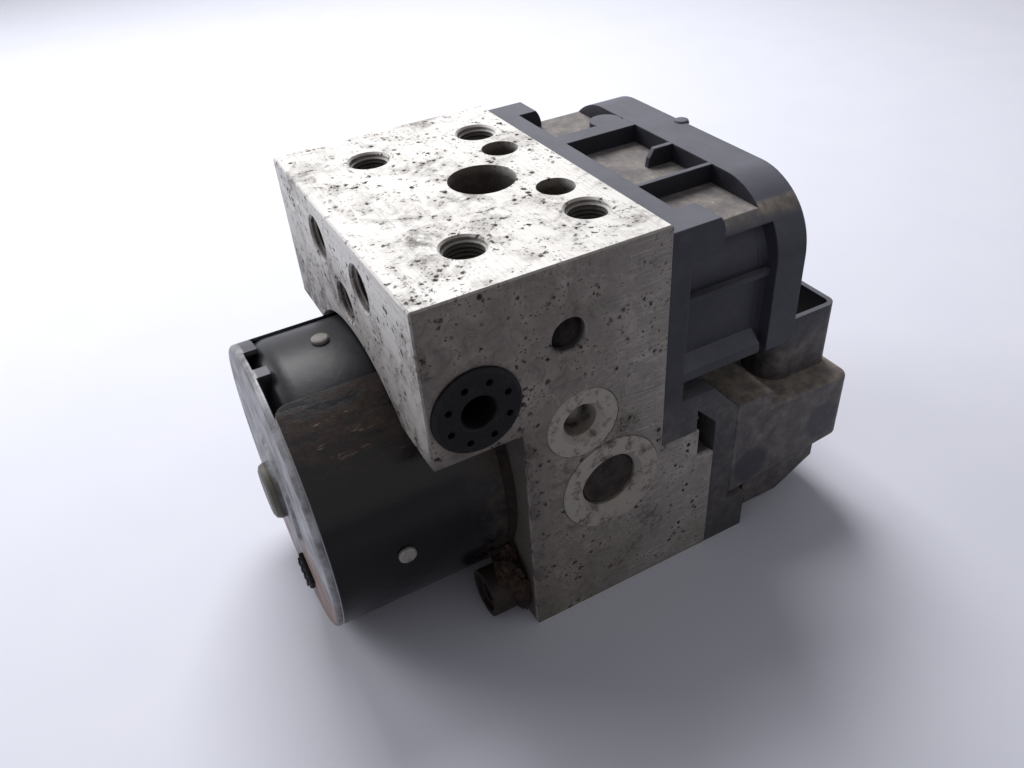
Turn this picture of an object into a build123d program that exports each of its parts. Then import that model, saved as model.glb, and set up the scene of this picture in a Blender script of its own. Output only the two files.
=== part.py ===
from build123d import *
import os
from math import cos, hypot, pi, radians, sin

# Hydraulic brake control module: valve block, pump motor and electronic control unit.
# X runs across the block between its two side faces and the part is centred on X = 0.
# The motor is on the -Y side, the control unit on the +Y side, and Z = 0 is the flat base.
# While modelling, Y = 0 is the face of the head above the motor. The finished part is then
# moved along Y so that the middle of its length is at the origin.

# Valve block
block_width = 88.6
head_depth = 60.0
block_height = 106.0
head_height = 39.6
motor_face_y = 22.2
upper_step_z = 44.7
lower_step_z = 35.2
notch_fillet = 2.5
edge_break = 0.4
side = block_width / 2
head_floor_z = block_height - head_height
upper_step_y = head_depth + 11.7
lower_step_y = head_depth + 17.1

# Ports and drillings
port_r = 5.0
port_mouth_r = 5.5
port_depth = 12.0
port_passage_r = 1.6
port_passage_depth = 8.0
top_port_x = side - 17.3
top_port_near_y = 19.8
top_port_far_y = head_depth - 10.2
side_port_r = 5.4
side_port_mouth_r = 5.9
side_port_x = 14.0
side_port_drop = 10.0
centre_port_drop = 20.7
bleed_hole_r = 4.6
bleed_hole_x = 13.7
bleed_hole_depth = 8.0
damper_bore_r = 8.2
damper_bore_y = head_depth - 22.2
damper_bore_depth = 20.0
fixing_hole_r = 4.4
fixing_hole_y = head_depth - 25.8
fixing_hole_drop = 17.8
fixing_hole_depth = 12.0
fit_gap = 0.05
play = 0.1

# Rubber bushes in the side faces
bush_r = 10.5
bush_y = 11.4
bush_drop = 27.6
bush_inner_x = 31.3
bush_proud = 1.6
bush_hole_r = 4.1
bush_pocket_r = 0.85
bush_pocket_pitch_r = 7.4
bush_pocket_depth = 5.0
bush_pockets = 8
bush_depth = side - bush_inner_x
bush_z = block_height - bush_drop

# Motor
motor_z = 39.2
can_r = 37.2
can_wall = 1.7
can_rear_y = -24.9
can_shoulder_r = 7.0
can_mouth_r = 16.0
flange_thickness = 3.0
flux_sheet = 0.8
flux_gap_start = -30.0
flux_gap_end = 22.6
flux_corner_r = 3.5
end_plate_sheet = 1.6
end_plate_rim_r = 1.2
end_plate_boss_r = 15.0
end_plate_boss_height = 0.8
lip_angles = ((-29.4, 19.0), (3.0, 5.0))
lip_length = 3.4
bearing_cup_r = 7.5
bearing_cup_height = 3.8
relief_gap = 1.0
rivet_r = 2.2
rivet_height = 1.0
rivet_y = -7.4
rivet_angles = (-3.0, 90.0, -90.0)
shaft_r = 4.0
magnet_thickness = 6.0
magnet_arc = 68.0
air_gap = 0.6
core_rear_y = -17.0
core_front_y = 3.0
core_slots = 12
slot_depth = 11.0
slot_width = 5.0
winding_rear = 5.0
winding_front = 4.0
commutator_r = 9.5
commutator_rear_y = 7.0
commutator_front_y = 16.0
brush_width = 4.0
brush_height = 6.0
brush_length = 9.0
brush_gap = 0.1
card_thickness = 2.5
pilot_r = 15.9
pilot_length = 4.8
front_bearing_r = 11.0
front_bearing_width = 6.8
lug_x = 34.0
lug_z = 8.0
lug_r = 6.5
lug_length = 10.0
lug_counterbore = 5.8
motor_screw_r = 3.0
motor_screw_head_r = 4.6
motor_screw_head_height = 4.8
motor_screw_depth = 13.0
lead_r = 2.55
lead_x = 26.0
lead_z = 52.5
lead_reach = 5.0
ring_outer_r = can_r + flux_sheet
can_inner_r = can_r - can_wall
can_front_y = motor_face_y - flange_thickness
end_plate_y = can_rear_y - end_plate_sheet
motor_end_y = end_plate_y - bearing_cup_height
magnet_inner_r = can_inner_r - play - magnet_thickness
core_r = magnet_inner_r - air_gap
card_rear_y = can_front_y - card_thickness
pilot_end_y = motor_face_y + pilot_length

# Pump
pump_rise = 1.2
pump_y = head_depth - 15.0
pump_z = motor_z + pump_rise
chamber_r = 13.5
chamber_end_y = pump_y + 6.5
eccentric_r = 6.2
eccentric_throw = 1.0
eccentric_width = 10.0
eccentric_ring_r = 9.6
tail_bearing_r = 6.9
tail_bearing_width = 6.0
plug_inner_x = side - 6.0
plug_flange_r = 10.0
plug_flange = 2.0
plug_head_r = 7.6
plug_head_x = side - 1.4
ring_r = 13.7
ring_mouth_r = 8.9
ring_proud = 0.6
ring_crevice = 0.15
piston_r = 3.0
piston_head_r = 4.2
piston_head = 1.4
piston_clearance = 0.15
pump_wire_r = 0.45
pump_spring_r = 3.3
pump_spring_turns = 4
pump_spring_length = 8.95
piston_tip_x = eccentric_ring_r + eccentric_throw + piston_clearance
piston_end_x = plug_inner_x - pump_spring_length
piston_neck_x = piston_end_x - piston_head
pump_bore_r = 7.0
sleeve_guide = 8.0
sleeve_chamber_r = 5.0
guide_end_x = piston_neck_x - 1.95
sleeve_inner_x = guide_end_x - sleeve_guide

# Damper plugs, the small rings beside the pump plugs
damper_plug_y = pump_y - 7.8
damper_plug_z = pump_z + 22.4
damper_plug_r = 9.5
damper_plug_mouth_r = 5.8
damper_plug_bore_r = 4.4
damper_plug_length = 13.0
damper_chamber_r = 6.0
damper_chamber_depth = 24.0

# Low pressure accumulators, open to the base
accumulator_x = side - 22.3
accumulator_y = head_depth - 8.0
accumulator_r = 9.5
accumulator_depth = 21.0
accumulator_cover_r = 11.0
accumulator_cover = 2.4
accumulator_recess = 0.3
accumulator_piston_height = 7.0
accumulator_crown = 2.0
accumulator_skirt = 1.9
accumulator_wire_r = 0.7
accumulator_spring_r = 5.5
accumulator_spring_turns = 4
accumulator_floor_z = accumulator_recess + accumulator_cover
accumulator_top_z = accumulator_depth - 0.3
accumulator_seat_z = accumulator_top_z - accumulator_crown

# Outer lines of the control unit
ecu_top_z = block_height - 2.0
ecu_floor_z = 62.5
ecu_foot_z = 44.9
core_inset = 3.5
shell_wall = 2.8
core_half = side - core_inset

# Solenoid valves, in two rows of four
valve_count = 4
valve_pitch = 2 * (core_half - shell_wall) / valve_count
valve_columns = [(k - (valve_count - 1) / 2) * valve_pitch for k in range(valve_count)]
inlet_z = ecu_top_z - 16.6
outlet_z = inlet_z - 14.8
valve_r = 4.5
valve_depth = 13.8
valve_nose_r = 3.2
valve_nose = 2.8
valve_collar_r = 5.4
valve_collar = 1.2
dome_r = 3.9
dome_length = 16.8
coil_r = 7.0
coil_length = 15.5
coil_flange = 1.2
coil_waist = 0.7

# Coil carrier of the control unit
flange_y = head_depth + 5.5
rim_end_y = head_depth + 7.2
core_end_y = head_depth + 28.5
side_step = 2.4
top_recess = 4.7
core_top_z = ecu_top_z - top_recess
gusset_width = 9.0
gusset_end_y = head_depth + 12.6
gusset_bulge = 1.6
gusset_depth = 9.0
rib = 1.3
top_rib_x = 20.8
wide_rib_x = -12.9
wide_rib = 5.4
rib_boss_r = 4.4
rib_boss_x = -17.4
rib_boss_y = head_depth + 24.0
fin_x = 5.3
fin = 1.4
fin_length = 7.5
side_rib_z = 83.8
side_rib_proud = 1.9
land = 3.0
skirt_low = 2.6
skirt_high = 6.2
frame_end_y = head_depth + 24.0
frame_foot_z = 13.0
lean_top_y = head_depth + 9.4
foot_end_y = head_depth + 30.3
foot_width = 10.3
foot_ground = 0.2
tab_end_y = head_depth + 10.8
tab_height = 11.6
tab_length = 14.0
pocket_half = side - 4.8
board_y = head_depth + 26.0
board_thickness = 1.6
board_ledge = 1.2
seal_thickness = 1.0
seal_width = 1.6

# Hood, connector box and socket
hood_end_y = head_depth + 41.0
hood_corner_r = 18.0
hood_wall = 2.5
hood_back_chamfer = 1.4
hood_low_corner_r = 5.0
neck_half = side - 18.3
ledge_high_z = 46.8
ledge_low_z = 41.0
ledge_step_y = head_depth + 35.8
box_end_y = head_depth + 65.0
box_low_z = 16.0
box_low_end_z = 20.5
box_corner_r = 3.5
box_edge_r = 1.4
seam_break = 0.5
keel_half = side - 5.5
keel_start_y = head_depth + 35.0
keel_end_y = head_depth + 61.5
keel_slope = 13.0
keel_toe_z = 8.0
socket_half = side - 8.0
socket_start_y = head_depth + 42.0
socket_end_y = head_depth + 63.5
socket_front_r = 6.5
socket_rear_r = 3.0
socket_top_z = 60.5
socket_floor_z = 24.0
socket_wall = 1.5
socket_inner_half = socket_half - socket_wall
pin_size = 0.8
pin_top_z = 36.0
pin_rows = (head_depth + 49.0, head_depth + 56.0)
pins_per_row = 13
pin_margin = 6.0
pin_pitch = 2 * (socket_inner_half - pin_margin) / (pins_per_row - 1)
tray_z = 19.4

# Screws of the control unit
ecu_screw_r = 2.0
ecu_screw_head_r = 3.5
ecu_screw_head = 2.6
ecu_screw_depth = 10.0
upper_screw_x = valve_pitch
upper_screw_z = (inlet_z + outlet_z) / 2
screw_web = valve_pitch - 2 * coil_r - 0.4
screw_boss_r = hypot(valve_pitch / 2, (inlet_z - outlet_z) / 2) - coil_r - 0.44
lower_screw_x = side - 5.3
lower_screw_z = 6.6

middle_y = (motor_end_y + box_end_y) / 2


def box(x0, x1, y0, y1, z0, z1):
    """Box between six planes."""
    return Pos((x0 + x1) / 2, (y0 + y1) / 2, (z0 + z1) / 2) * Box(x1 - x0, y1 - y0, z1 - z0)


def rod_y(r, y0, y1, x, z):
    """Round bar along Y."""
    return Pos(x, (y0 + y1) / 2, z) * Rot(90, 0, 0) * Cylinder(r, y1 - y0)


def rod_x(r, x0, x1, y, z):
    """Round bar along X."""
    return Pos((x0 + x1) / 2, y, z) * Rot(0, 90, 0) * Cylinder(r, abs(x1 - x0))


def rod_z(r, z0, z1, x, y):
    """Round bar along Z."""
    return Pos(x, y, (z0 + z1) / 2) * Cylinder(r, z1 - z0)


def lathe(*points):
    """Turned solid about Z from (radius, height) points."""
    outline = Polyline([(r, 0, h) for r, h in points], close=True)
    return revolve(make_face(outline), Axis.Z)


def turned_y(x, z, *points):
    """Turned solid about a line along Y, its heights measured as Y."""
    return Pos(x, 0, z) * Rot(-90, 0, 0) * lathe(*points)


def turned_x(hand, y, z, *points):
    """Turned solid about a line along X, its heights measured outward on side hand."""
    return Pos(0, y, z) * Rot(0, 90 * hand, 0) * lathe(*points)


def slab(outline, y0, y1):
    """Outline drawn in X and Z, given thickness along Y."""
    plane = Plane(origin=(0, y1, 0), x_dir=(1, 0, 0), z_dir=(0, -1, 0))
    return extrude(plane * outline, y1 - y0)


def rolled(points, x0, x1):
    """Outline of (y, z) points, given length along X."""
    face = Plane.YZ.offset(x0) * make_face(Polyline([(y, z) for y, z in points], close=True))
    return extrude(face, x1 - x0)


def arched(half, z0, z1, corner):
    """Rectangle in X and Z with its two upper corners rounded."""
    sheet = Pos(0, (z0 + z1) / 2) * Rectangle(2 * half, z1 - z0)
    return fillet(sheet.vertices().group_by(Axis.Y)[-1], corner)


def near(edges, *points):
    """The edges whose middles lie nearest to the points."""
    return [min(edges, key=lambda e: (e.center() - Vector(*p)).length) for p in points]


def wedge_y(r, start, sweep, y0, y1, x, z):
    """Pie slice about a line along Y, its angles measured from +Z towards +X."""
    steps = max(2, int(sweep / 15) + 1)
    turns = [radians(start + sweep * k / steps) for k in range(steps + 1)]
    rim = [(x + r * sin(t), z + r * cos(t)) for t in turns]
    return slab(make_face(Polyline([(x, z)] + rim, close=True)), y0, y1)


def coil_spring(length, wire_r, mean_r, turns):
    """Compression spring along Z from zero to its length."""
    rise = length - 2 * wire_r
    path = Pos(0, 0, wire_r) * Helix(rise / turns, rise, mean_r)
    start = path @ 0
    profile = Plane(origin=start, z_dir=path % 0) * RegularPolygon(wire_r, 6)
    return sweep(profile, path)


def block_outline():
    """Side outline of the valve block, with the head over the motor and two steps behind."""
    return [
        (0, head_floor_z),
        (0, block_height),
        (head_depth, block_height),
        (head_depth, upper_step_z),
        (upper_step_y, upper_step_z),
        (upper_step_y, lower_step_z),
        (lower_step_y, lower_step_z),
        (lower_step_y, 0),
        (motor_face_y, 0),
        (motor_face_y, head_floor_z),
    ]


def port(r, mouth_r):
    """Flared brake pipe port as a cutter along -Z from zero."""
    lead_in = mouth_r - r
    seat = port_depth + 1.0
    return lathe(
        (0, 1),
        (mouth_r + 1, 1),
        (r, -lead_in),
        (r, -port_depth),
        (port_passage_r, -seat),
        (port_passage_r, -port_depth - port_passage_depth),
        (0, -port_depth - port_passage_depth),
    )


def valve_block():
    """The machined aluminium block with every bore that a piece sits in."""
    body = rolled(block_outline(), -side, side)
    inner = near(body.edges(), (0, motor_face_y, head_floor_z))
    body = fillet(inner, notch_fillet)
    outer = near(
        body.edges(),
        (0, 0, block_height),
        (0, 0, head_floor_z),
        (0, head_depth, block_height),
        (0, lower_step_y, 0),
        (0, motor_face_y, 0),
        (0, lower_step_y, lower_step_z),
        (side, head_depth / 2, block_height),
        (-side, head_depth / 2, block_height),
        (side, 0, block_height - head_height / 2),
        (-side, 0, block_height - head_height / 2),
    )
    body = chamfer(outer, edge_break)
    body -= rod_y(ring_outer_r + relief_gap, -1, motor_face_y, 0, motor_z)
    for hand in (-1, 1):
        for y in (top_port_near_y, top_port_far_y):
            body -= Pos(hand * top_port_x, y, block_height) * port(port_r, port_mouth_r)
        bleed_floor_z = block_height - bleed_hole_depth
        body -= rod_z(bleed_hole_r, bleed_floor_z, block_height + 1, hand * bleed_hole_x, top_port_far_y)
        inlet = port(side_port_r, side_port_mouth_r)
        body -= Pos(hand * side_port_x, 0, block_height - side_port_drop) * Rot(90, 0, 0) * inlet
        body -= rod_x(bush_r, hand * (side - bush_depth), hand * (side + 1), bush_y, bush_z)
        hole_z = block_height - fixing_hole_drop
        hole_x = side - fixing_hole_depth
        body -= rod_x(fixing_hole_r, hand * hole_x, hand * (side + 1), fixing_hole_y, hole_z)
        body -= pump_bore(hand)
        body -= damper_cutter(hand)
        body -= accumulator_cutter(hand)
        tapped_y = motor_face_y + motor_screw_depth + 1
        body -= rod_y(motor_screw_r + play, motor_face_y - 1, tapped_y, hand * lug_x, lug_z)
        hole_r = ecu_screw_r + fit_gap
        hole_depth = ecu_screw_depth + 1
        body -= rod_y(hole_r, head_depth - hole_depth, head_depth + 1, hand * upper_screw_x, upper_screw_z)
        low_y = lower_step_y - hole_depth
        body -= rod_y(hole_r, low_y, lower_step_y + 1, hand * lower_screw_x, lower_screw_z)
    body -= Pos(0, 0, block_height - centre_port_drop) * Rot(90, 0, 0) * port(port_r, port_mouth_r)
    body -= rod_z(damper_bore_r, block_height - damper_bore_depth, block_height + 1, 0, damper_bore_y)
    body -= rod_y(pilot_r + play, motor_face_y - 1, pilot_end_y + play, 0, motor_z)
    body -= rod_y(chamber_r, motor_face_y, chamber_end_y, 0, motor_z)
    tail_end_y = chamber_end_y + tail_bearing_width + 1
    body -= rod_y(tail_bearing_r + fit_gap, chamber_end_y, tail_end_y, 0, motor_z)
    body -= rod_y(lead_r + fit_gap, motor_face_y - 1, head_depth + 1, lead_x, lead_z)
    for x in valve_columns:
        for z in (inlet_z, outlet_z):
            body -= rod_y(valve_r + fit_gap, head_depth - valve_depth, head_depth + 1, x, z)
    return body


def pump_bore(hand):
    """Stepped bore for the pump sleeve, its plug and the staked ring."""
    seat_x = plug_inner_x + plug_flange
    return turned_x(
        hand, pump_y, pump_z,
        (0, chamber_r / 2),
        (pump_bore_r, chamber_r / 2),
        (pump_bore_r, plug_inner_x),
        (plug_flange_r + play, plug_inner_x),
        (plug_flange_r + play, seat_x),
        (ring_r + ring_crevice, seat_x),
        (ring_r + ring_crevice, side + 1),
        (0, side + 1),
    )


def pump_plug(hand):
    """Turned steel plug that closes the pump bore."""
    return turned_x(
        hand, pump_y, pump_z,
        (0, plug_inner_x),
        (plug_flange_r, plug_inner_x),
        (plug_flange_r, plug_inner_x + plug_flange),
        (plug_head_r, plug_inner_x + plug_flange),
        (plug_head_r, plug_head_x - 0.5),
        (plug_head_r - 0.5, plug_head_x),
        (plug_head_r - 1.2, plug_head_x - 0.3),
        (0, plug_head_x - 0.3),
    )


def pump_plug_ring(hand):
    """Staked ring over the plug's flange."""
    seat_x = plug_inner_x + plug_flange
    face_x = side + ring_proud
    throat_r = plug_head_r + play
    return turned_x(
        hand, pump_y, pump_z,
        (throat_r, seat_x),
        (ring_r, seat_x),
        (ring_r, face_x - 0.4),
        (ring_r - 0.4, face_x),
        (ring_mouth_r, face_x),
        (throat_r, face_x - 1.6),
    )


def pump_sleeve(hand):
    """Steel cylinder that guides the piston and holds its spring."""
    outer_r = pump_bore_r - fit_gap
    return turned_x(
        hand, pump_y, pump_z,
        (piston_r + fit_gap, sleeve_inner_x),
        (outer_r - 0.6, sleeve_inner_x),
        (outer_r, sleeve_inner_x + 0.6),
        (outer_r, plug_inner_x),
        (sleeve_chamber_r, plug_inner_x),
        (sleeve_chamber_r, guide_end_x),
        (piston_r + fit_gap, guide_end_x),
    )


def pump_piston(hand):
    """Plunger with a head for its return spring."""
    return turned_x(
        hand, pump_y, pump_z,
        (0, piston_tip_x),
        (piston_r - 0.4, piston_tip_x),
        (piston_r, piston_tip_x + 0.4),
        (piston_r, piston_neck_x),
        (piston_head_r, piston_neck_x),
        (piston_head_r, piston_end_x),
        (0, piston_end_x),
    )


def pump_spring(hand):
    """Return spring between the piston head and the plug."""
    spring = coil_spring(pump_spring_length, pump_wire_r, pump_spring_r, pump_spring_turns)
    return Pos(0, pump_y, pump_z) * Rot(0, 90 * hand, 0) * Pos(0, 0, piston_end_x) * spring


def damper_cutter(hand):
    """Counterbore and chamber behind the small staked plug."""
    seat_x = side - damper_plug_length
    return turned_x(
        hand, damper_plug_y, damper_plug_z,
        (0, side - damper_chamber_depth),
        (damper_chamber_r, side - damper_chamber_depth),
        (damper_chamber_r, seat_x),
        (damper_plug_r + ring_crevice, seat_x),
        (damper_plug_r + ring_crevice, side + 1),
        (0, side + 1),
    )


def damper_plug(hand):
    """Turned plug with a cone mouth and a ball seat."""
    seat_x = side - damper_plug_length
    throat_x = side - (damper_plug_mouth_r - damper_plug_bore_r)
    return turned_x(
        hand, damper_plug_y, damper_plug_z,
        (1.5, seat_x),
        (damper_plug_r, seat_x),
        (damper_plug_r, side - 0.1),
        (damper_plug_r - 0.3, side + 0.2),
        (damper_plug_mouth_r, side + 0.2),
        (damper_plug_bore_r, throat_x),
        (damper_plug_bore_r, seat_x + 1.0),
        (1.5, seat_x + 1.0),
    )


def damper_ball(hand):
    """Steel ball pressed into the plug's bore."""
    ball_r = damper_plug_bore_r - fit_gap
    ball_x = side - damper_plug_length + 1.0 + ball_r - 0.05
    return Pos(hand * ball_x, damper_plug_y, damper_plug_z) * Sphere(ball_r)


def accumulator_cutter(hand):
    """Bore from the base for one accumulator and its cover."""
    shoulder_z = accumulator_recess + accumulator_cover
    return Pos(hand * accumulator_x, accumulator_y, 0) * lathe(
        (0, -1),
        (accumulator_cover_r + play, -1),
        (accumulator_cover_r + play, shoulder_z),
        (accumulator_r, shoulder_z),
        (accumulator_r, accumulator_depth),
        (0, accumulator_depth),
    )


def accumulator_piston(hand):
    """Cup piston, open towards its spring."""
    outer_r = accumulator_r - fit_gap
    skirt_z = accumulator_top_z - accumulator_piston_height
    return Pos(hand * accumulator_x, accumulator_y, 0) * lathe(
        (0, accumulator_seat_z),
        (outer_r - accumulator_skirt, accumulator_seat_z),
        (outer_r - accumulator_skirt, skirt_z),
        (outer_r, skirt_z),
        (outer_r, accumulator_top_z - 0.5),
        (outer_r - 0.5, accumulator_top_z),
        (0, accumulator_top_z),
    )


def accumulator_spring(hand):
    """Spring between the cover and the piston's crown."""
    length = accumulator_seat_z - accumulator_floor_z
    spring = coil_spring(length, accumulator_wire_r, accumulator_spring_r, accumulator_spring_turns)
    return Pos(hand * accumulator_x, accumulator_y, accumulator_floor_z) * spring


def accumulator_lid(hand):
    """Pressed cover with a vent hole."""
    x = hand * accumulator_x
    lid = rod_z(accumulator_cover_r, accumulator_recess, accumulator_floor_z, x, accumulator_y)
    return lid - rod_z(0.8, 0, accumulator_floor_z + 1, x, accumulator_y)


def mounting_bush(hand):
    """Rubber bush with a through bore and a ring of small pockets."""
    face_x = side + bush_proud
    bush = turned_x(
        hand, bush_y, bush_z,
        (bush_hole_r, side - bush_depth),
        (bush_r - fit_gap, side - bush_depth),
        (bush_r - fit_gap, face_x - 0.9),
        (bush_r - 0.9, face_x),
        (bush_hole_r + 0.5, face_x),
        (bush_hole_r, face_x - 0.5),
    )
    for k in range(bush_pockets):
        turn = 2 * pi * (k + 0.5) / bush_pockets
        y = bush_y + bush_pocket_pitch_r * cos(turn)
        z = bush_z + bush_pocket_pitch_r * sin(turn)
        bush -= rod_x(bush_pocket_r, hand * (face_x - bush_pocket_depth), hand * (face_x + 1), y, z)
    return bush


def valve(x, z):
    """Sealed solenoid valve cartridge with its collar and dome."""
    nose_y = head_depth - valve_depth
    collar_y = head_depth + valve_collar
    dome_end = collar_y + dome_length
    return turned_y(
        x, z,
        (0, nose_y),
        (valve_nose_r, nose_y),
        (valve_nose_r, nose_y + valve_nose),
        (valve_r, nose_y + valve_nose + 0.6),
        (valve_r, head_depth),
        (valve_collar_r, head_depth),
        (valve_collar_r, collar_y),
        (dome_r, collar_y),
        (dome_r, dome_end - 1.6),
        (dome_r - 1.2, dome_end - 0.4),
        (0, dome_end),
    )


def coil(x, z):
    """Wound solenoid coil that slides over a valve dome."""
    y0 = head_depth + valve_collar
    y1 = y0 + coil_length
    bore_r = dome_r + play
    return turned_y(
        x, z,
        (bore_r, y0),
        (coil_r, y0),
        (coil_r, y0 + coil_flange),
        (coil_r - coil_waist, y0 + coil_flange),
        (coil_r - coil_waist, y1 - coil_flange),
        (coil_r, y1 - coil_flange),
        (coil_r, y1),
        (bore_r, y1),
    )


def motor_can():
    """Drawn steel can, rounded at its rear and open round the end plate's boss."""
    can = rod_y(can_r, can_rear_y, can_front_y, 0, motor_z)
    can = fillet(can.edges().group_by(Axis.Y)[0], can_shoulder_r)
    hollow = rod_y(can_inner_r, can_rear_y + can_wall, can_front_y + 1, 0, motor_z)
    hollow = fillet(hollow.edges().group_by(Axis.Y)[0], can_shoulder_r - can_wall)
    return can - hollow - rod_y(can_mouth_r, can_rear_y - 1, can_front_y, 0, motor_z)


def flux_ring():
    """Black steel sheet wrapped round the can, open over its top, with rounded corners."""
    ring = rod_y(ring_outer_r, can_rear_y, can_front_y, 0, motor_z)
    ring -= rod_y(can_r, can_rear_y - 1, can_front_y + 1, 0, motor_z)
    gap = flux_gap_end - flux_gap_start
    ring -= wedge_y(ring_outer_r + 2, flux_gap_start, gap, can_rear_y - 1, can_front_y + 1, 0, motor_z)
    corners = [
        e for e in ring.edges()
        if e.length < 2 * flux_sheet and abs(e.center().Y - can_rear_y) < 0.01
    ]
    return fillet(corners, flux_corner_r)


def motor_end_plate():
    """Drawn end plate with a rounded rim, two bent lips, a raised boss and the bearing cup."""
    y0 = end_plate_y
    boss_y = y0 - end_plate_boss_height
    cup_y = motor_end_y
    inner_cup_r = bearing_cup_r - end_plate_sheet
    plate = rod_y(ring_outer_r, y0, can_rear_y, 0, motor_z)
    plate = fillet(plate.edges().group_by(Axis.Y)[0], end_plate_rim_r)
    lip_end = can_rear_y + lip_length
    lip = rod_y(ring_outer_r, can_rear_y - 0.5, lip_end, 0, motor_z)
    lip -= rod_y(can_r - 0.4, can_rear_y - 1, lip_end + 1, 0, motor_z)
    for start, arc in lip_angles:
        plate += lip & wedge_y(can_r + 2, start, arc, can_rear_y - 1, lip_end + 1, 0, motor_z)
    plate += turned_y(
        0, motor_z,
        (0, cup_y),
        (bearing_cup_r - 1.6, cup_y),
        (bearing_cup_r - 0.5, cup_y + 0.5),
        (bearing_cup_r, cup_y + 1.6),
        (bearing_cup_r, boss_y),
        (end_plate_boss_r - 1, boss_y),
        (end_plate_boss_r, y0),
        (end_plate_boss_r, can_rear_y),
        (0, can_rear_y),
    )
    return plate - turned_y(
        0, motor_z,
        (end_plate_boss_r - 2, can_rear_y + 1),
        (end_plate_boss_r - 2, can_rear_y),
        (end_plate_boss_r - 3, can_rear_y - end_plate_boss_height),
        (inner_cup_r, can_rear_y - end_plate_boss_height),
        (inner_cup_r, cup_y + end_plate_sheet),
        (0, cup_y + end_plate_sheet),
        (0, can_rear_y + 1),
    )


def rivet(turn, base_r):
    """Round rivet head on the can."""
    dome = lathe(
        (0, 0),
        (rivet_r, 0),
        (rivet_r, rivet_height - 0.3),
        (rivet_r - 0.4, rivet_height),
        (0, rivet_height),
    )
    return Pos(0, rivet_y, motor_z) * Rot(0, turn, 0) * Pos(0, 0, base_r) * dome


def motor_flange():
    """Front flange with the pilot boss, the bearing pocket and two screw lugs."""
    plate = rod_y(can_r, can_front_y, motor_face_y, 0, motor_z)
    for hand in (-1, 1):
        arm = atan_degrees(hand * lug_x, lug_z - motor_z)
        reach = hypot(lug_x, lug_z - motor_z)
        ear = box(-lug_r, lug_r, can_front_y, motor_face_y, 0, reach)
        plate += Pos(0, 0, motor_z) * Rot(0, arm, 0) * ear
        plate += rod_y(lug_r, motor_face_y - lug_length, motor_face_y, hand * lug_x, lug_z)
    plate += rod_y(pilot_r, motor_face_y - 1, pilot_end_y, 0, motor_z)
    for hand in (-1, 1):
        face_y = motor_face_y - lug_length
        plate -= rod_y(motor_screw_r + play, face_y - 1, motor_face_y + 1, hand * lug_x, lug_z)
        plate -= rod_y(motor_screw_head_r + 0.4, face_y - 1, face_y + lug_counterbore, hand * lug_x, lug_z)
    plate -= rod_y(front_bearing_r + fit_gap, can_front_y - 1, can_front_y + front_bearing_width, 0, motor_z)
    plate -= rod_y(shaft_r + 1.5, can_front_y, pilot_end_y + 1, 0, motor_z)
    plate -= rod_y(lead_r + fit_gap, can_front_y - 1, motor_face_y + 1, lead_x, lead_z)
    return plate


def atan_degrees(x, z):
    """Angle from +Z towards +X of a direction in X and Z."""
    return Vector(0, 0, 1).get_signed_angle(Vector(x, 0, z), Vector(0, 1, 0))


def motor_screw(hand):
    """Socket head screw, sunk in a lug of the motor flange."""
    seat_y = motor_face_y - lug_length + lug_counterbore
    top_y = seat_y - motor_screw_head_height
    screw = rod_y(motor_screw_head_r, top_y, seat_y, hand * lug_x, lug_z)
    screw += rod_y(motor_screw_r, seat_y, motor_face_y + motor_screw_depth, hand * lug_x, lug_z)
    socket = slab(Pos(hand * lug_x, lug_z) * RegularPolygon(2.9, 6), 0, top_y + motor_screw_head_height / 2)
    return screw - socket


def magnet(k):
    """One of four curved magnets."""
    ring = rod_y(can_inner_r - play, core_rear_y - 1, core_front_y + 3, 0, motor_z)
    ring -= rod_y(magnet_inner_r, core_rear_y - 2, core_front_y + 4, 0, motor_z)
    start = 45 + 90 * k - magnet_arc / 2
    keep = wedge_y(can_r, start, magnet_arc, core_rear_y - 2, core_front_y + 4, 0, motor_z)
    return ring & keep


def slot_bars(width, outer_r, y0, y1):
    """Radial bars, one in each armature slot."""
    inner_r = core_r - slot_depth
    bars = []
    for k in range(core_slots):
        bar = box(-width / 2, width / 2, y0, y1, inner_r, outer_r)
        bars.append(Pos(0, 0, motor_z) * Rot(0, 360 * k / core_slots, 0) * bar)
    return bars


def armature_core():
    """Slotted steel core on the shaft."""
    core = rod_y(core_r, core_rear_y, core_front_y, 0, motor_z)
    core -= rod_y(shaft_r, core_rear_y - 1, core_front_y + 1, 0, motor_z)
    return core - slot_bars(slot_width, core_r + 1, core_rear_y - 1, core_front_y + 1)


def armature_windings():
    """Copper in the slots, joined by the end turns at both ends."""
    inner_r = core_r - slot_depth - 5
    outer_r = core_r - 2.5
    rear = turned_y(
        0, motor_z,
        (inner_r, core_rear_y),
        (outer_r, core_rear_y),
        (outer_r - 1.5, core_rear_y - winding_rear + 1),
        (outer_r - 4, core_rear_y - winding_rear),
        (inner_r + 2, core_rear_y - winding_rear),
        (inner_r, core_rear_y - 2),
    )
    front = turned_y(
        0, motor_z,
        (inner_r, core_front_y),
        (outer_r, core_front_y),
        (outer_r - 1.5, core_front_y + winding_front - 1),
        (outer_r - 4, core_front_y + winding_front),
        (inner_r + 2, core_front_y + winding_front),
        (inner_r, core_front_y + 2),
    )
    copper = rear + front
    return copper + slot_bars(slot_width - 2 * play, core_r - 3, core_rear_y, core_front_y)


def shaft():
    """Motor shaft in one piece with the eccentric that drives the pistons."""
    tail_end = chamber_end_y + tail_bearing_width
    bar = rod_y(shaft_r, motor_end_y + end_plate_sheet + 0.5, tail_end, 0, motor_z)
    y0 = pump_y - eccentric_width / 2
    return bar + rod_y(eccentric_r, y0, y0 + eccentric_width, 0, motor_z + eccentric_throw)


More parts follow.
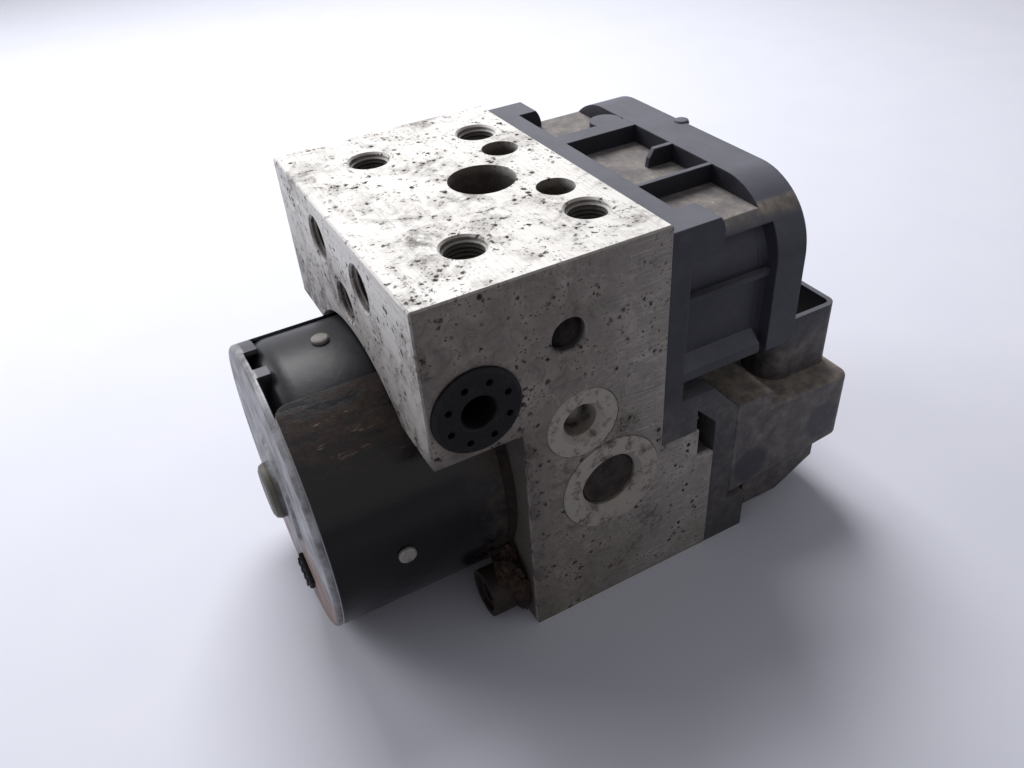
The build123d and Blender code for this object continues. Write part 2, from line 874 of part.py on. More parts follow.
def eccentric_ring():
    """Bearing ring that runs on the eccentric."""
    half = eccentric_width / 2 - 0.3
    z = motor_z + eccentric_throw
    ring = rod_y(eccentric_ring_r, pump_y - half, pump_y + half, 0, z)
    return ring - rod_y(eccentric_r + fit_gap, pump_y - half - 1, pump_y + half + 1, 0, z)


def sleeve_y(outer_r, inner_r, y0, y1):
    """Plain bearing or tube on the motor's line."""
    return rod_y(outer_r, y0, y1, 0, motor_z) - rod_y(inner_r, y0 - 1, y1 + 1, 0, motor_z)


def brush_parts():
    """Card with two open holders, and the brushes and springs in them."""
    y0 = (commutator_rear_y + commutator_front_y - brush_width) / 2
    inner_x = commutator_r + brush_gap
    outer_x = inner_x + brush_length
    holder_end = can_inner_r - 3
    card = rod_y(can_inner_r - 1, card_rear_y, can_front_y, 0, motor_z)
    card -= rod_y(front_bearing_r + 0.5, card_rear_y - 1, can_front_y + 1, 0, motor_z)
    card -= rod_y(lead_r + fit_gap, card_rear_y - 1, can_front_y + 1, lead_x, lead_z)
    brushes = []
    springs = []
    for hand in (-1, 1):
        low, high = sorted((hand * (inner_x + 2), hand * holder_end))
        wall = brush_height / 2 + 1.2
        holder = box(low, high, y0 - 1.2, card_rear_y, motor_z - wall, motor_z + wall)
        low, high = sorted((hand * inner_x, hand * (holder_end - 1.2)))
        reach = brush_height / 2 + play
        holder -= box(low, high, y0 - play, y0 + brush_width + play, motor_z - reach, motor_z + reach)
        card += holder
        low, high = sorted((hand * inner_x, hand * outer_x))
        half = brush_height / 2
        brushes.append(box(low, high, y0, y0 + brush_width, motor_z - half, motor_z + half))
        spring = coil_spring(holder_end - 1.2 - outer_x, 0.25, 1.5, 4)
        spot = Pos(0, y0 + brush_width / 2, motor_z) * Rot(0, 90 * hand, 0) * Pos(0, 0, outer_x)
        springs.append(spot * spring)
    return card, brushes, springs


def gusset(hand):
    """Corner block that stiffens the flange, with a bulged end."""
    inner = side - gusset_width
    foot_z = ecu_top_z - gusset_depth
    root_y = flange_y - 1
    profile = Polyline(
        [
            (gusset_end_y, ecu_top_z),
            (root_y, ecu_top_z),
            (root_y, foot_z),
            (gusset_end_y, foot_z),
        ]
    )
    nose = ThreePointArc(
        (gusset_end_y, foot_z),
        (gusset_end_y + gusset_bulge, ecu_top_z - gusset_depth / 2),
        (gusset_end_y, ecu_top_z),
    )
    face = Plane.YZ.offset(-side if hand < 0 else inner) * make_face([profile, nose])
    return extrude(face, gusset_width)


def side_ledges(hand):
    """Rib along the middle of one side and the sloped lip along its foot."""
    root = hand * (core_half - 1)
    rib_x = hand * (core_half + side_rib_proud)
    rib_end = core_end_y + side_step
    low_z = side_rib_z - rib / 2
    high_z = side_rib_z + rib / 2
    low, high = sorted((root, rib_x))
    ledges = box(low, high, flange_y - 1, core_end_y, low_z, high_z)
    low, high = sorted((hand * core_half, rib_x))
    ledges += box(low, high, core_end_y - 1, rib_end, low_z, high_z)
    lip = Polyline(
        [
            (root, ecu_floor_z),
            (hand * side, ecu_floor_z),
            (hand * side, ecu_floor_z + skirt_low),
            (root, ecu_floor_z + skirt_high),
        ],
        close=True,
    )
    return ledges + slab(make_face(lip), flange_y - 1, core_end_y)


def ecu_housing():
    """Ribbed plastic coil carrier with its flange, frame wall, feet and foot bar."""
    root_y = flange_y - 1
    root_z = core_top_z - 1
    core = slab(arched(core_half, ecu_floor_z, core_top_z, hood_corner_r - core_inset), root_y, core_end_y)
    flange = box(-side, side, head_depth, flange_y, ecu_foot_z, ecu_top_z)
    body = core + flange
    outer = slab(arched(side, ecu_floor_z, ecu_top_z, hood_corner_r), root_y, core_end_y)
    shoulder = outer - core
    body += shoulder & box(-side, side, root_y, core_end_y, core_top_z - land, core_top_z)
    body += box(-side, side, root_y, rim_end_y, root_z, ecu_top_z)
    fin_start = core_end_y - fin_length
    fin_outline = [
        (fin_start, root_z),
        (fin_start + 0.6, core_top_z + 2.5),
        (fin_start + 2, ecu_top_z),
        (core_end_y, ecu_top_z),
        (core_end_y, root_z),
    ]
    body += rolled(fin_outline, fin_x - fin / 2, fin_x + fin / 2)
    for x, width in ((top_rib_x, rib), (wide_rib_x, wide_rib)):
        body += box(x - width / 2, x + width / 2, root_y, core_end_y, root_z, ecu_top_z)
    body += rod_z(rib_boss_r, root_z, ecu_top_z, rib_boss_x, rib_boss_y)
    for hand in (-1, 1):
        body += gusset(hand)
    body += rolled(frame_outline(), -side, side)
    for hand in (-1, 1):
        low, high = sorted((hand * side, hand * pocket_half))
        body -= box(low, high, flange_y, core_end_y, ecu_foot_z + tab_height, ecu_floor_z)
        body += side_ledges(hand)
        low, high = sorted((hand * side, hand * (side - foot_width)))
        body += box(low, high, lower_step_y, foot_end_y, foot_ground, frame_foot_z)
        low, high = sorted((hand * side, hand * (side - tab_length)))
        body += box(low, high, root_y, tab_end_y, ecu_foot_z, ecu_foot_z + tab_height)
    return body - housing_cutters() + screw_webs()


def screw_webs():
    """Two webs between the coils, each with a boss for an upper screw."""
    webs = []
    for hand in (-1, 1):
        x = hand * upper_screw_x
        half = screw_web / 2
        web = box(x - half, x + half, head_depth, flange_y, ecu_floor_z + 2, core_top_z - shell_wall + 0.4)
        web += rod_y(screw_boss_r, head_depth, flange_y, x, upper_screw_z)
        webs.append(web - rod_y(ecu_screw_r + play, head_depth - 1, flange_y + 1, x, upper_screw_z))
    return webs


def frame_outline():
    """Wall behind the lower block, leaning forward at its top to meet the core."""
    knee_z = ledge_high_z + 0.2
    return [
        (lower_step_y, frame_foot_z - 1),
        (frame_end_y, frame_foot_z - 1),
        (frame_end_y, knee_z),
        (lean_top_y, ecu_floor_z + 1),
        (flange_y - 1, ecu_floor_z + 1),
        (flange_y - 1, ecu_floor_z - 4.5),
        (lower_step_y, knee_z - 2),
    ]


def housing_cutters():
    """Coil chamber, board room, seal groove, lead hole and screw holes."""
    half = core_half - shell_wall
    top_z = core_top_z - shell_wall
    floor_z = ecu_floor_z + shell_wall
    corner = hood_corner_r - core_inset - shell_wall
    room = arched(half + board_ledge, floor_z - board_ledge, top_z + board_ledge, corner)
    cutters = [
        slab(arched(half, floor_z, top_z, corner), head_depth - 1, core_end_y + 1),
        slab(room, board_y, core_end_y + 1),
        box(-half, half, lower_step_y - 1, frame_end_y + 1, box_low_z + 3, ledge_low_z - 3),
        seal_ring(head_depth - 1),
        box(-neck_half, neck_half, board_y, core_end_y + 1, ecu_floor_z - 1, floor_z + 1),
        rod_y(lead_r + play, head_depth - 1, flange_y + 1, lead_x, lead_z),
    ]
    hole_r = ecu_screw_r + play
    for hand in (-1, 1):
        cutters.append(rod_y(hole_r, lower_step_y - 1, foot_end_y + 1, hand * lower_screw_x, lower_screw_z))
    return cutters


def seal_ring(y0):
    """Seal frame between the coil carrier and the block, cut or moulded."""
    half = core_half + 0.2
    low_z = ecu_floor_z - 0.2
    high_z = core_top_z - 0.5
    corner = hood_corner_r - 6
    outer = arched(half, low_z, high_z, corner)
    inner = arched(half - seal_width, low_z + seal_width, high_z - seal_width, corner - seal_width)
    return slab(outer - inner, y0, head_depth + seal_thickness)


def hood():
    """Arched rear shell with its broken back edge and rounded lower corners."""
    low_z = ecu_floor_z - 0.5
    shell = slab(arched(side, low_z, ecu_top_z, hood_corner_r), core_end_y, hood_end_y)
    back = [e for e in shell.edges() if abs(e.center().Y - hood_end_y) < 0.01]
    low = [e for e in back if abs(e.center().Z - low_z) < 0.01]
    upper = [e for e in back if e not in low]
    shell = chamfer(upper, hood_back_chamfer)
    corner = near(shell.edges(), (0, hood_end_y, low_z))
    return fillet(corner, hood_low_corner_r)


def connector_box():
    """Box below the hood with its stepped ledge, its corners rounded and its front edges broken."""
    outline = [
        (frame_end_y, box_low_z),
        (box_end_y, box_low_end_z),
        (box_end_y, ledge_low_z),
        (ledge_step_y, ledge_low_z),
        (ledge_step_y, ledge_high_z),
        (frame_end_y, ledge_high_z),
    ]
    body = rolled(outline, -side, side)
    middle_z = (box_low_end_z + ledge_low_z) / 2
    upright = near(body.edges(), (side, box_end_y, middle_z), (-side, box_end_y, middle_z))
    body = fillet(upright, box_corner_r)
    low_rim = body.edges().filter_by_position(Axis.Z, ledge_low_z - 0.01, ledge_low_z + 0.01)
    body = fillet([e for e in low_rim if abs(e.center().Y - ledge_step_y) > 0.01], box_edge_r)
    front = [e for e in body.edges() if abs(e.center().Y - frame_end_y) < 0.01]
    return chamfer(front, seam_break)


def keel(half, start_y, start_z):
    """Underside of the connector box, sloped up towards its end."""
    outline = [
        (start_y, foot_ground + 0.3),
        (keel_end_y - keel_slope, foot_ground + 0.3),
        (keel_end_y, keel_toe_z),
        (keel_end_y, box_low_end_z + 1),
        (start_y, start_z),
    ]
    return rolled(outline, -half, half)


def socket_shell():
    """Open shroud round the pins, its vertical corners rounded."""
    middle = (socket_start_y + socket_end_y) / 2
    sheet = Pos(0, middle) * Rectangle(2 * socket_half, socket_end_y - socket_start_y)
    sheet = fillet(sheet.vertices().group_by(Axis.Y)[0], socket_front_r)
    sheet = fillet(sheet.vertices().group_by(Axis.Y)[-1], socket_rear_r)
    inner_r = socket_front_r - socket_wall
    hole = Pos(0, middle) * Rectangle(2 * socket_inner_half, socket_end_y - socket_start_y - 2 * socket_wall)
    hole = fillet(hole.vertices().group_by(Axis.Y)[0], inner_r)
    hole = fillet(hole.vertices().group_by(Axis.Y)[-1], socket_rear_r - socket_wall)
    shroud = Pos(0, 0, ledge_low_z - 3) * extrude(sheet, socket_top_z - ledge_low_z + 3)
    room = Pos(0, 0, socket_floor_z) * extrude(hole, socket_top_z - socket_floor_z + 1)
    return shroud, room


def ecu_cover():
    """Hood, neck, connector box, keel and open socket, moulded in one."""
    shroud, room = socket_shell()
    body = hood() + connector_box()
    body += box(-neck_half, neck_half, frame_end_y, hood_end_y, ledge_low_z, ecu_floor_z)
    body += keel(side - foot_width - 0.5, frame_end_y, box_low_z + 2)
    body += keel(keel_half, keel_start_y, box_low_end_z + 1)
    body += shroud
    return body - cover_cutters() - room


def cover_cutters():
    """Board room, pin tray and side step."""
    hood_half = side - hood_wall
    inner_end = hood_end_y - hood_wall
    room_half = core_half - shell_wall + board_ledge
    step_y = core_end_y + side_step
    room_top = core_top_z - shell_wall + board_ledge
    room_corner = hood_corner_r - core_inset - shell_wall
    room = arched(room_half, ecu_floor_z + 2, room_top, room_corner)
    back_room = arched(hood_half, ecu_floor_z + 2, ecu_top_z - hood_wall, hood_corner_r - hood_wall)
    core = arched(core_half, ecu_foot_z, core_top_z, hood_corner_r - core_inset)
    neck_half_inside = neck_half - hood_wall
    neck_top = ecu_floor_z + 4
    outside = box(-side - 1, side + 1, core_end_y - 1, step_y, ecu_floor_z - 1, core_top_z - land)
    tray_half = room_half - 3
    tray_end = socket_end_y - socket_wall
    return [
        slab(room, core_end_y - 1, step_y + 2),
        slab(back_room, step_y + 1, inner_end),
        outside - slab(core, core_end_y - 2, step_y + 1),
        box(-neck_half_inside, neck_half_inside, frame_end_y - 1, inner_end, ledge_low_z - 4, neck_top),
        box(-room_half, room_half, frame_end_y - 1, inner_end, tray_z, ledge_low_z - hood_wall),
        box(-tray_half, tray_half, frame_end_y - 1, tray_end, tray_z, socket_floor_z - socket_wall),
    ] + pins()


def pins():
    """Bent contact pins, from the board to their rows in the socket."""
    half = pin_size / 2
    found = []
    first = -pin_pitch * (pins_per_row - 1) / 2
    for y in pin_rows:
        for k in range(pins_per_row):
            x = first + k * pin_pitch
            found.append(box(x - half, x + half, y - half, y + half, tray_z + 0.8, pin_top_z))
    return found


def circuit_board():
    """One board: upper part behind the coils, neck, and lower part beside the socket."""
    half = core_half - shell_wall + board_ledge - 0.3
    top_z = core_top_z - shell_wall + board_ledge - 0.3
    floor_z = ecu_floor_z + shell_wall - board_ledge + 0.3
    corner = hood_corner_r - core_inset - shell_wall
    outline = arched(half, floor_z, top_z, corner)
    neck = Rectangle(2 * (neck_half - hood_wall - 0.5), floor_z - ledge_low_z + 14)
    outline += Pos(0, (ledge_low_z + floor_z) / 2) * neck
    low_z = tray_z
    high_z = ledge_low_z - hood_wall - 0.5
    outline += Pos(0, (low_z + high_z) / 2) * Rectangle(2 * (half - 0.5), high_z - low_z)
    return slab(outline, board_y, board_y + board_thickness)


def ecu_screw(hand, x, z, head_y, tip_y):
    """Screw with a round head on the control unit's side."""
    screw = rod_y(ecu_screw_r, tip_y, head_y + 0.1, hand * x, z)
    return screw + rod_y(ecu_screw_head_r, head_y, head_y + ecu_screw_head, hand * x, z)


def motor_lead():
    """Plastic lead plug from the brush card through the block to the control unit."""
    return rod_y(lead_r, card_rear_y, head_depth + lead_reach, lead_x, lead_z)


def build():
    """Every node of the part as a list of solids."""
    hands = (-1, 1)
    rivets = [rivet(rivet_angles[0], can_r)]
    rivets += [rivet(turn, ring_outer_r) for turn in rivet_angles[1:]]
    inlets = [valve(x, inlet_z) for x in valve_columns]
    outlets = [valve(x, outlet_z) for x in valve_columns]
    coils = [coil(x, z) for x in valve_columns for z in (inlet_z, outlet_z)]
    card, brushes, brush_springs = brush_parts()
    upper_tip = head_depth - ecu_screw_depth
    lower_tip = lower_step_y - ecu_screw_depth
    screws = [ecu_screw(h, upper_screw_x, upper_screw_z, flange_y, upper_tip) for h in hands]
    screws += [ecu_screw(h, lower_screw_x, lower_screw_z, foot_end_y, lower_tip) for h in hands]
    bore_r = shaft_r + fit_gap
    cup_floor_y = motor_end_y + end_plate_sheet
    cup_r = bearing_cup_r - end_plate_sheet - fit_gap
    tail_start_y = chamber_end_y + 0.3
    tail_end_y = chamber_end_y + tail_bearing_width
    nodes = {
        "valve_block": [valve_block()],
        "mounting_bushes": [mounting_bush(h) for h in hands],
        "damper_plugs": [damper_plug(h) for h in hands],
        "damper_balls": [damper_ball(h) for h in hands],
        "pump_plugs": [pump_plug(h) for h in hands],
        "pump_plug_rings": [pump_plug_ring(h) for h in hands],
        "pump_sleeves": [pump_sleeve(h) for h in hands],
        "pump_piston_left": [pump_piston(-1)],
        "pump_piston_right": [pump_piston(1)],
        "pump_spring_left": [pump_spring(-1)],
        "pump_spring_right": [pump_spring(1)],
        "accumulator_piston_left": [accumulator_piston(-1)],
        "accumulator_piston_right": [accumulator_piston(1)],
        "accumulator_spring_left": [accumulator_spring(-1)],
        "accumulator_spring_right": [accumulator_spring(1)],
        "accumulator_covers": [accumulator_lid(h) for h in hands],
        "inlet_valves": inlets,
        "outlet_valves": outlets,
        "solenoid_coils": coils,
        "ecu_housing": [ecu_housing()],
        "ecu_cover": [ecu_cover()],
        "ecu_seal": [seal_ring(head_depth)],
        "circuit_board": [circuit_board()],
        "connector_pins": pins(),
        "ecu_screws": screws,
        "motor_can": [motor_can()],
        "flux_ring": [flux_ring()],
        "motor_end_plate": [motor_end_plate()],
        "motor_flange": [motor_flange()],
        "motor_screws": [motor_screw(h) for h in hands],
        "motor_rivets": rivets,
        "magnets": [magnet(k) for k in range(4)],
        "brush_card": [card],
        "brushes": brushes,
        "brush_springs": brush_springs,
        "rear_bearing": [sleeve_y(cup_r, bore_r, cup_floor_y, can_rear_y + 1)],
        "front_bearing": [sleeve_y(front_bearing_r, bore_r, can_front_y, can_front_y + front_bearing_width)],
        "tail_bearing": [sleeve_y(tail_bearing_r, bore_r, tail_start_y, tail_end_y)],
        "shaft": [shaft()],
        "eccentric_ring": [eccentric_ring()],
        "commutator": [sleeve_y(commutator_r, shaft_r, commutator_rear_y, commutator_front_y)],
        "armature_core": [armature_core()],
        "armature_windings": [armature_windings()],
        "motor_lead": [motor_lead()],
    }
    return nodes


os.makedirs("parts", exist_ok=True)
for name, solids in build().items():
    placed = [Pos(0, -middle_y, 0) * s for shape in solids for s in shape.solids()]
    node = placed[0] if len(placed) == 1 else Compound(children=placed)
    export_step(node, "parts/" + name + ".step")
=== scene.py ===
import math
import random
import bmesh
import bpy
from mathutils import Matrix, Vector, noise


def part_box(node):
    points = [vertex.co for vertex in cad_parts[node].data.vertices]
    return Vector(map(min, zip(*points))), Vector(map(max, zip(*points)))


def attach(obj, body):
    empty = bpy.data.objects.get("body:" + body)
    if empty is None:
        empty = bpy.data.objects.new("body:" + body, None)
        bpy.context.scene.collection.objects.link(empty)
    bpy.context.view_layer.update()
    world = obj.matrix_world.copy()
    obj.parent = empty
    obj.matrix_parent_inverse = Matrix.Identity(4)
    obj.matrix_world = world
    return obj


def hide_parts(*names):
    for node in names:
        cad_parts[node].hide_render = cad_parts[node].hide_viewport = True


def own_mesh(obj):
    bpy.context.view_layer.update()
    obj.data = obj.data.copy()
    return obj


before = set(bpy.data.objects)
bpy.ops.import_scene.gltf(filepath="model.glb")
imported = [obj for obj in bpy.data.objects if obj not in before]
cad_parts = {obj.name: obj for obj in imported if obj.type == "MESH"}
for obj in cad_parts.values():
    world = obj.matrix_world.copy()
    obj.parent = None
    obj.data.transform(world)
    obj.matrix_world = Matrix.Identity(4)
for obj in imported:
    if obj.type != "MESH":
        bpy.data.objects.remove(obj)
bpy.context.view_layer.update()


# Paper on the table.
# A large sheet of white paper with a faint blue cast, so the floor is pale and matt.
# Its fibres show as a very faint mottle, and it lies flat.
def linear(hex_colour):
    """Linear colour of an sRGB hex value."""
    levels = [int(hex_colour[k:k + 2], 16) / 255 for k in (1, 3, 5)]
    return [v / 12.92 if v <= 0.04045 else ((v + 0.055) / 1.055) ** 2.4 for v in levels] + [1.0]


def add(mat, kind, inputs=None, **settings):
    """Adds a node with its settings; an input is a constant, a hex colour, an output or a whole node."""
    tree = mat.node_tree
    made = tree.nodes.new(kind)
    for name, value in settings.items():
        setattr(made, name, value)
    for name, value in (inputs or {}).items():
        if isinstance(value, bpy.types.Node):
            value = next(output for output in value.outputs if output.enabled)
        if isinstance(value, str):
            value = linear(value)
        if isinstance(value, bpy.types.NodeSocket):
            tree.links.new(value, made.inputs[name])
        else:
            made.inputs[name].default_value = value
    return made


def new_material(name):
    """Empty node material with the coordinates of its piece."""
    mat = bpy.data.materials.new(name)
    mat.use_nodes = True
    mat.node_tree.nodes.clear()
    place = add(mat, "ShaderNodeTexCoord")
    return mat, place.outputs["Object"], place.outputs["Normal"]


def new_piece(name, bm, mat, body="module"):
    """Turns a bmesh into a piece that rides on a body."""
    mesh = bpy.data.meshes.new(name)
    bm.to_mesh(mesh)
    bm.free()
    piece = bpy.data.objects.new(name, mesh)
    bpy.context.scene.collection.objects.link(piece)
    mesh.materials.append(mat)
    if body:
        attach(piece, body)
    return piece


paper, paper_spot, _ = new_material("matt white paper")
paper_fibre = add(paper, "ShaderNodeTexNoise", {"Vector": paper_spot, "Scale": 30.0, "Detail": 3.0})
paper_tone = add(paper, "ShaderNodeMix", {0: paper_fibre, 6: "#dfe1ee", 7: "#e6e7f2"}, data_type="RGBA")
paper_coat = add(paper, "ShaderNodeBsdfPrincipled", {"Base Color": paper_tone, "Roughness": 0.75})
add(paper, "ShaderNodeOutputMaterial", {"Surface": paper_coat})
paper_half_width = 2.5
sheet = bmesh.new()
bmesh.ops.create_grid(sheet, x_segments=2, y_segments=2, size=paper_half_width)
floor = new_piece("paper_floor", sheet, paper, None)


# Cut aluminium valve block.
# A sawn bar of extruded aluminium, face milled on all sides and drilled, left bare.
# Years under a bonnet left it pitted, smudged and grey, most of all on its side faces, which are also
# painted darker as shade.
mm = 0.001
block_low, block_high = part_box("valve_block")
head_y = block_low.y
top_z = block_high.z
side_x = block_high.x


def surface(mat, inputs, relief, strength, depth, edge_r=0.0):
    """Ends a material: a coat over relief of a strength and depth, with edges rounded by edge_r."""
    raised = {"Strength": strength, "Distance": depth, "Height": relief}
    if edge_r:
        raised["Normal"] = add(mat, "ShaderNodeBevel", {"Radius": edge_r}, samples=4)
    bump = add(mat, "ShaderNodeBump", raised)
    coat = add(mat, "ShaderNodeBsdfPrincipled", {**inputs, "Normal": bump})
    add(mat, "ShaderNodeOutputMaterial", {"Surface": coat})


def milled(name, soil, pits):
    """Bare milled aluminium; soil and pits say how dirty and how pitted it is, from 0 to 1."""
    mat, spot, normal = new_material(name)
    facing = add(mat, "ShaderNodeSeparateXYZ", {"Vector": normal})
    where = add(mat, "ShaderNodeSeparateXYZ", {"Vector": spot})
    x, y, z = where.outputs
    turned_x = add(mat, "ShaderNodeMath", {0: facing.outputs["X"]}, operation="ABSOLUTE")
    sideways = add(mat, "ShaderNodeMapRange", {"Value": turned_x, "From Min": 0.4, "From Max": 0.8})
    frontal = add(mat, "ShaderNodeMapRange", {
        "Value": facing.outputs["Y"], "From Min": -0.4, "From Max": -0.8,
    })
    big = add(mat, "ShaderNodeTexNoise", {
        "Vector": spot, "Scale": 48.0, "Detail": 5.0, "Roughness": 0.62,
    })
    mid = add(mat, "ShaderNodeTexNoise", {
        "Vector": spot, "Scale": 170.0, "Detail": 6.0, "Roughness": 0.7, "Distortion": 0.8,
    })
    fine = add(mat, "ShaderNodeTexNoise", {
        "Vector": spot, "Scale": 800.0, "Detail": 4.0, "Roughness": 0.7,
    })
    # Cutter marks run across the top in lines a half millimetre apart, and lean on the sides.
    across = add(mat, "ShaderNodeMapping", {
        "Vector": spot, "Rotation": (0, 0, math.radians(20)), "Scale": (60, 2000, 2000),
    })
    lines = add(mat, "ShaderNodeTexNoise", {"Vector": across, "Scale": 1.0, "Detail": 2.0})
    leaning = add(mat, "ShaderNodeMapping", {
        "Vector": spot, "Rotation": (math.radians(48), 0, 0), "Scale": (400, 160, 3200),
    })
    cuts = add(mat, "ShaderNodeTexNoise", {"Vector": leaning, "Scale": 1.0, "Detail": 3.0})
    line_mask = add(mat, "ShaderNodeMapRange", {"Value": lines, "From Min": 0.35, "From Max": 0.65})
    bright = add(mat, "ShaderNodeMix", {0: line_mask, 6: "#cfccc9", 7: "#dedcd9"}, data_type="RGBA")
    # The motor face is painted darker towards the motor, as shade under the head.
    depth = add(mat, "ShaderNodeMapRange", {
        "Value": z, "From Min": top_z - 6 * mm, "From Max": top_z - 38 * mm, "To Max": 0.8,
    })
    motor_face_shade = add(mat, "ShaderNodeMath", {0: depth, 1: frontal}, operation="MULTIPLY")
    bright = add(mat, "ShaderNodeMix", {0: motor_face_shade, 6: bright, 7: "#8f8a87"}, data_type="RGBA")
    # The side faces are painted darker as shade over a dark grey oxide, with cleaner scratches near the
    # control unit.
    mottle = add(mat, "ShaderNodeMapRange", {"Value": mid, "From Min": 0.34, "From Max": 0.68})
    dull = add(mat, "ShaderNodeMix", {0: mottle, 6: "#5f5853", 7: "#99918a"}, data_type="RGBA")
    near_unit = add(mat, "ShaderNodeMapRange", {
        "Value": y, "From Min": head_y + 36 * mm, "From Max": head_y + 58 * mm, "To Max": 0.5,
    })
    scratched = add(mat, "ShaderNodeMapRange", {
        "Value": cuts, "From Min": 0.54, "From Max": 0.66, "To Min": 0.35,
    })
    swept = add(mat, "ShaderNodeMath", {0: near_unit, 1: scratched}, operation="MULTIPLY")
    dull = add(mat, "ShaderNodeMix", {0: swept, 6: dull, 7: "#c9c4be"}, data_type="RGBA")
    colour = add(mat, "ShaderNodeMix", {0: sideways, 6: bright, 7: dull}, data_type="RGBA")
    # Grey haze and dark smears lie in patches.
    cloud = add(mat, "ShaderNodeMapRange", {"Value": big, "From Min": 0.44, "From Max": 0.62})
    patch = add(mat, "ShaderNodeMapRange", {
        "Value": mid, "From Min": 0.4, "From Max": 0.62, "To Max": 0.75 * soil,
    })
    haze = add(mat, "ShaderNodeMath", {0: cloud, 1: patch}, operation="MULTIPLY")
    colour = add(mat, "ShaderNodeMix", {0: haze, 6: colour, 7: "#5d5650"}, data_type="RGBA")
    cloud_core = add(mat, "ShaderNodeMapRange", {"Value": big, "From Min": 0.58, "From Max": 0.68})
    smudge = add(mat, "ShaderNodeMapRange", {
        "Value": fine, "From Min": 0.4, "From Max": 0.6, "To Max": 0.85 * soil,
    })
    smear = add(mat, "ShaderNodeMath", {0: cloud_core, 1: smudge}, operation="MULTIPLY")
    colour = add(mat, "ShaderNodeMix", {0: smear, 6: colour, 7: "#2e2926"}, data_type="RGBA")
    # Oily dirt has crept up from the edges of the notch over the motor.
    edge_z = add(mat, "ShaderNodeMapRange", {
        "Value": z, "From Min": top_z - 26 * mm, "From Max": top_z - 39 * mm,
    })
    edge_y = add(mat, "ShaderNodeMapRange", {
        "Value": y, "From Min": head_y + 30 * mm, "From Max": head_y + 23 * mm,
    })
    edge_low = add(mat, "ShaderNodeMapRange", {
        "Value": z, "From Min": top_z - 34 * mm, "From Max": top_z - 42 * mm,
    })
    edge_side = add(mat, "ShaderNodeMath", {0: edge_y, 1: edge_low}, operation="MULTIPLY")
    edge = add(mat, "ShaderNodeMath", {0: edge_side, 1: frontal}, operation="MAXIMUM")
    edge = add(mat, "ShaderNodeMath", {0: edge, 1: edge_z}, operation="MULTIPLY")
    creeping = add(mat, "ShaderNodeMapRange", {
        "Value": mid, "From Min": 0.42, "From Max": 0.58, "To Max": 0.8,
    })
    creep = add(mat, "ShaderNodeMath", {0: edge, 1: creeping}, operation="MULTIPLY")
    colour = add(mat, "ShaderNodeMix", {0: creep, 6: colour, 7: "#3f3835"}, data_type="RGBA")
    # Pits are black points of 0.3 to 1 mm with torn edges that crowd together.
    flaw = add(mat, "ShaderNodeTexNoise", {"Vector": spot, "Scale": 1100.0, "Detail": 2.0})
    tear = (0.0016, 0.0016, 0.0016)
    torn_spot = add(mat, "ShaderNodeVectorMath", {
        0: flaw.outputs["Color"], 1: tear, 2: spot,
    }, operation="MULTIPLY_ADD")
    shift = add(mat, "ShaderNodeVectorMath", {
        0: torn_spot, 1: (0.0031, 0.0052, 0.0017),
    }, operation="ADD")
    cells = add(mat, "ShaderNodeTexVoronoi", {"Vector": torn_spot, "Scale": 420.0})
    small = add(mat, "ShaderNodeTexVoronoi", {"Vector": shift, "Scale": 950.0})
    crowd = add(mat, "ShaderNodeMapRange", {"Value": mid, "From Min": 0.47, "From Max": 0.56})
    large_dot = add(mat, "ShaderNodeMapRange", {"Value": cells, "From Min": 0.32, "From Max": 0.18})
    large_dot = add(mat, "ShaderNodeMath", {0: large_dot, 1: crowd}, operation="MULTIPLY")
    strew = add(mat, "ShaderNodeMapRange", {
        "Value": mid, "From Min": 0.44, "From Max": 0.58, "To Max": 0.95,
    })
    small_dot = add(mat, "ShaderNodeMapRange", {"Value": small, "From Min": 0.32, "From Max": 0.16})
    small_dot = add(mat, "ShaderNodeMath", {0: small_dot, 1: strew}, operation="MULTIPLY")
    specks = add(mat, "ShaderNodeMath", {0: large_dot, 1: small_dot}, operation="MAXIMUM")
    specks = add(mat, "ShaderNodeMath", {0: specks, 1: pits}, operation="MULTIPLY")
    colour = add(mat, "ShaderNodeMix", {0: specks, 6: colour, 7: "#1e1917"}, data_type="RGBA")
    # Inside the holes and under the head the metal is darker brown, partly old fluid and partly painted
    # shade.
    width = add(mat, "ShaderNodeMath", {0: x}, operation="ABSOLUTE")
    in_x = add(mat, "ShaderNodeMapRange", {
        "Value": width, "From Min": side_x - 0.5 * mm, "From Max": side_x - 1.5 * mm,
    })
    in_y = add(mat, "ShaderNodeMapRange", {
        "Value": y, "From Min": head_y + 0.6 * mm, "From Max": head_y + 2.0 * mm,
    })
    in_z = add(mat, "ShaderNodeMapRange", {
        "Value": z, "From Min": top_z - 0.6 * mm, "From Max": top_z - 2.5 * mm, "To Max": 0.85,
    })
    hollow_shade_and_fluid = add(mat, "ShaderNodeMath", {0: in_x, 1: in_y}, operation="MULTIPLY")
    hollow_shade_and_fluid = add(mat, "ShaderNodeMath", {0: hollow_shade_and_fluid, 1: in_z}, operation="MULTIPLY")
    brown = add(mat, "ShaderNodeMix", {0: mottle, 6: "#2b2421", 7: "#57504b"}, data_type="RGBA")
    colour = add(mat, "ShaderNodeMix", {0: hollow_shade_and_fluid, 6: colour, 7: brown}, data_type="RGBA")
    soiled = add(mat, "ShaderNodeMath", {0: specks, 1: haze}, operation="ADD", use_clamp=True)
    soiled = add(mat, "ShaderNodeMath", {0: soiled, 1: hollow_shade_and_fluid}, operation="MAXIMUM")
    shine = add(mat, "ShaderNodeMapRange", {"Value": soiled, "To Min": 0.55, "To Max": 0.85})
    hidden = add(mat, "ShaderNodeMath", {0: soiled, 1: sideways}, operation="MAXIMUM")
    metal = add(mat, "ShaderNodeMapRange", {"Value": hidden, "To Min": 0.18, "To Max": 0.03})
    relief = add(mat, "ShaderNodeMath", {0: lines, 1: 0.25}, operation="MULTIPLY")
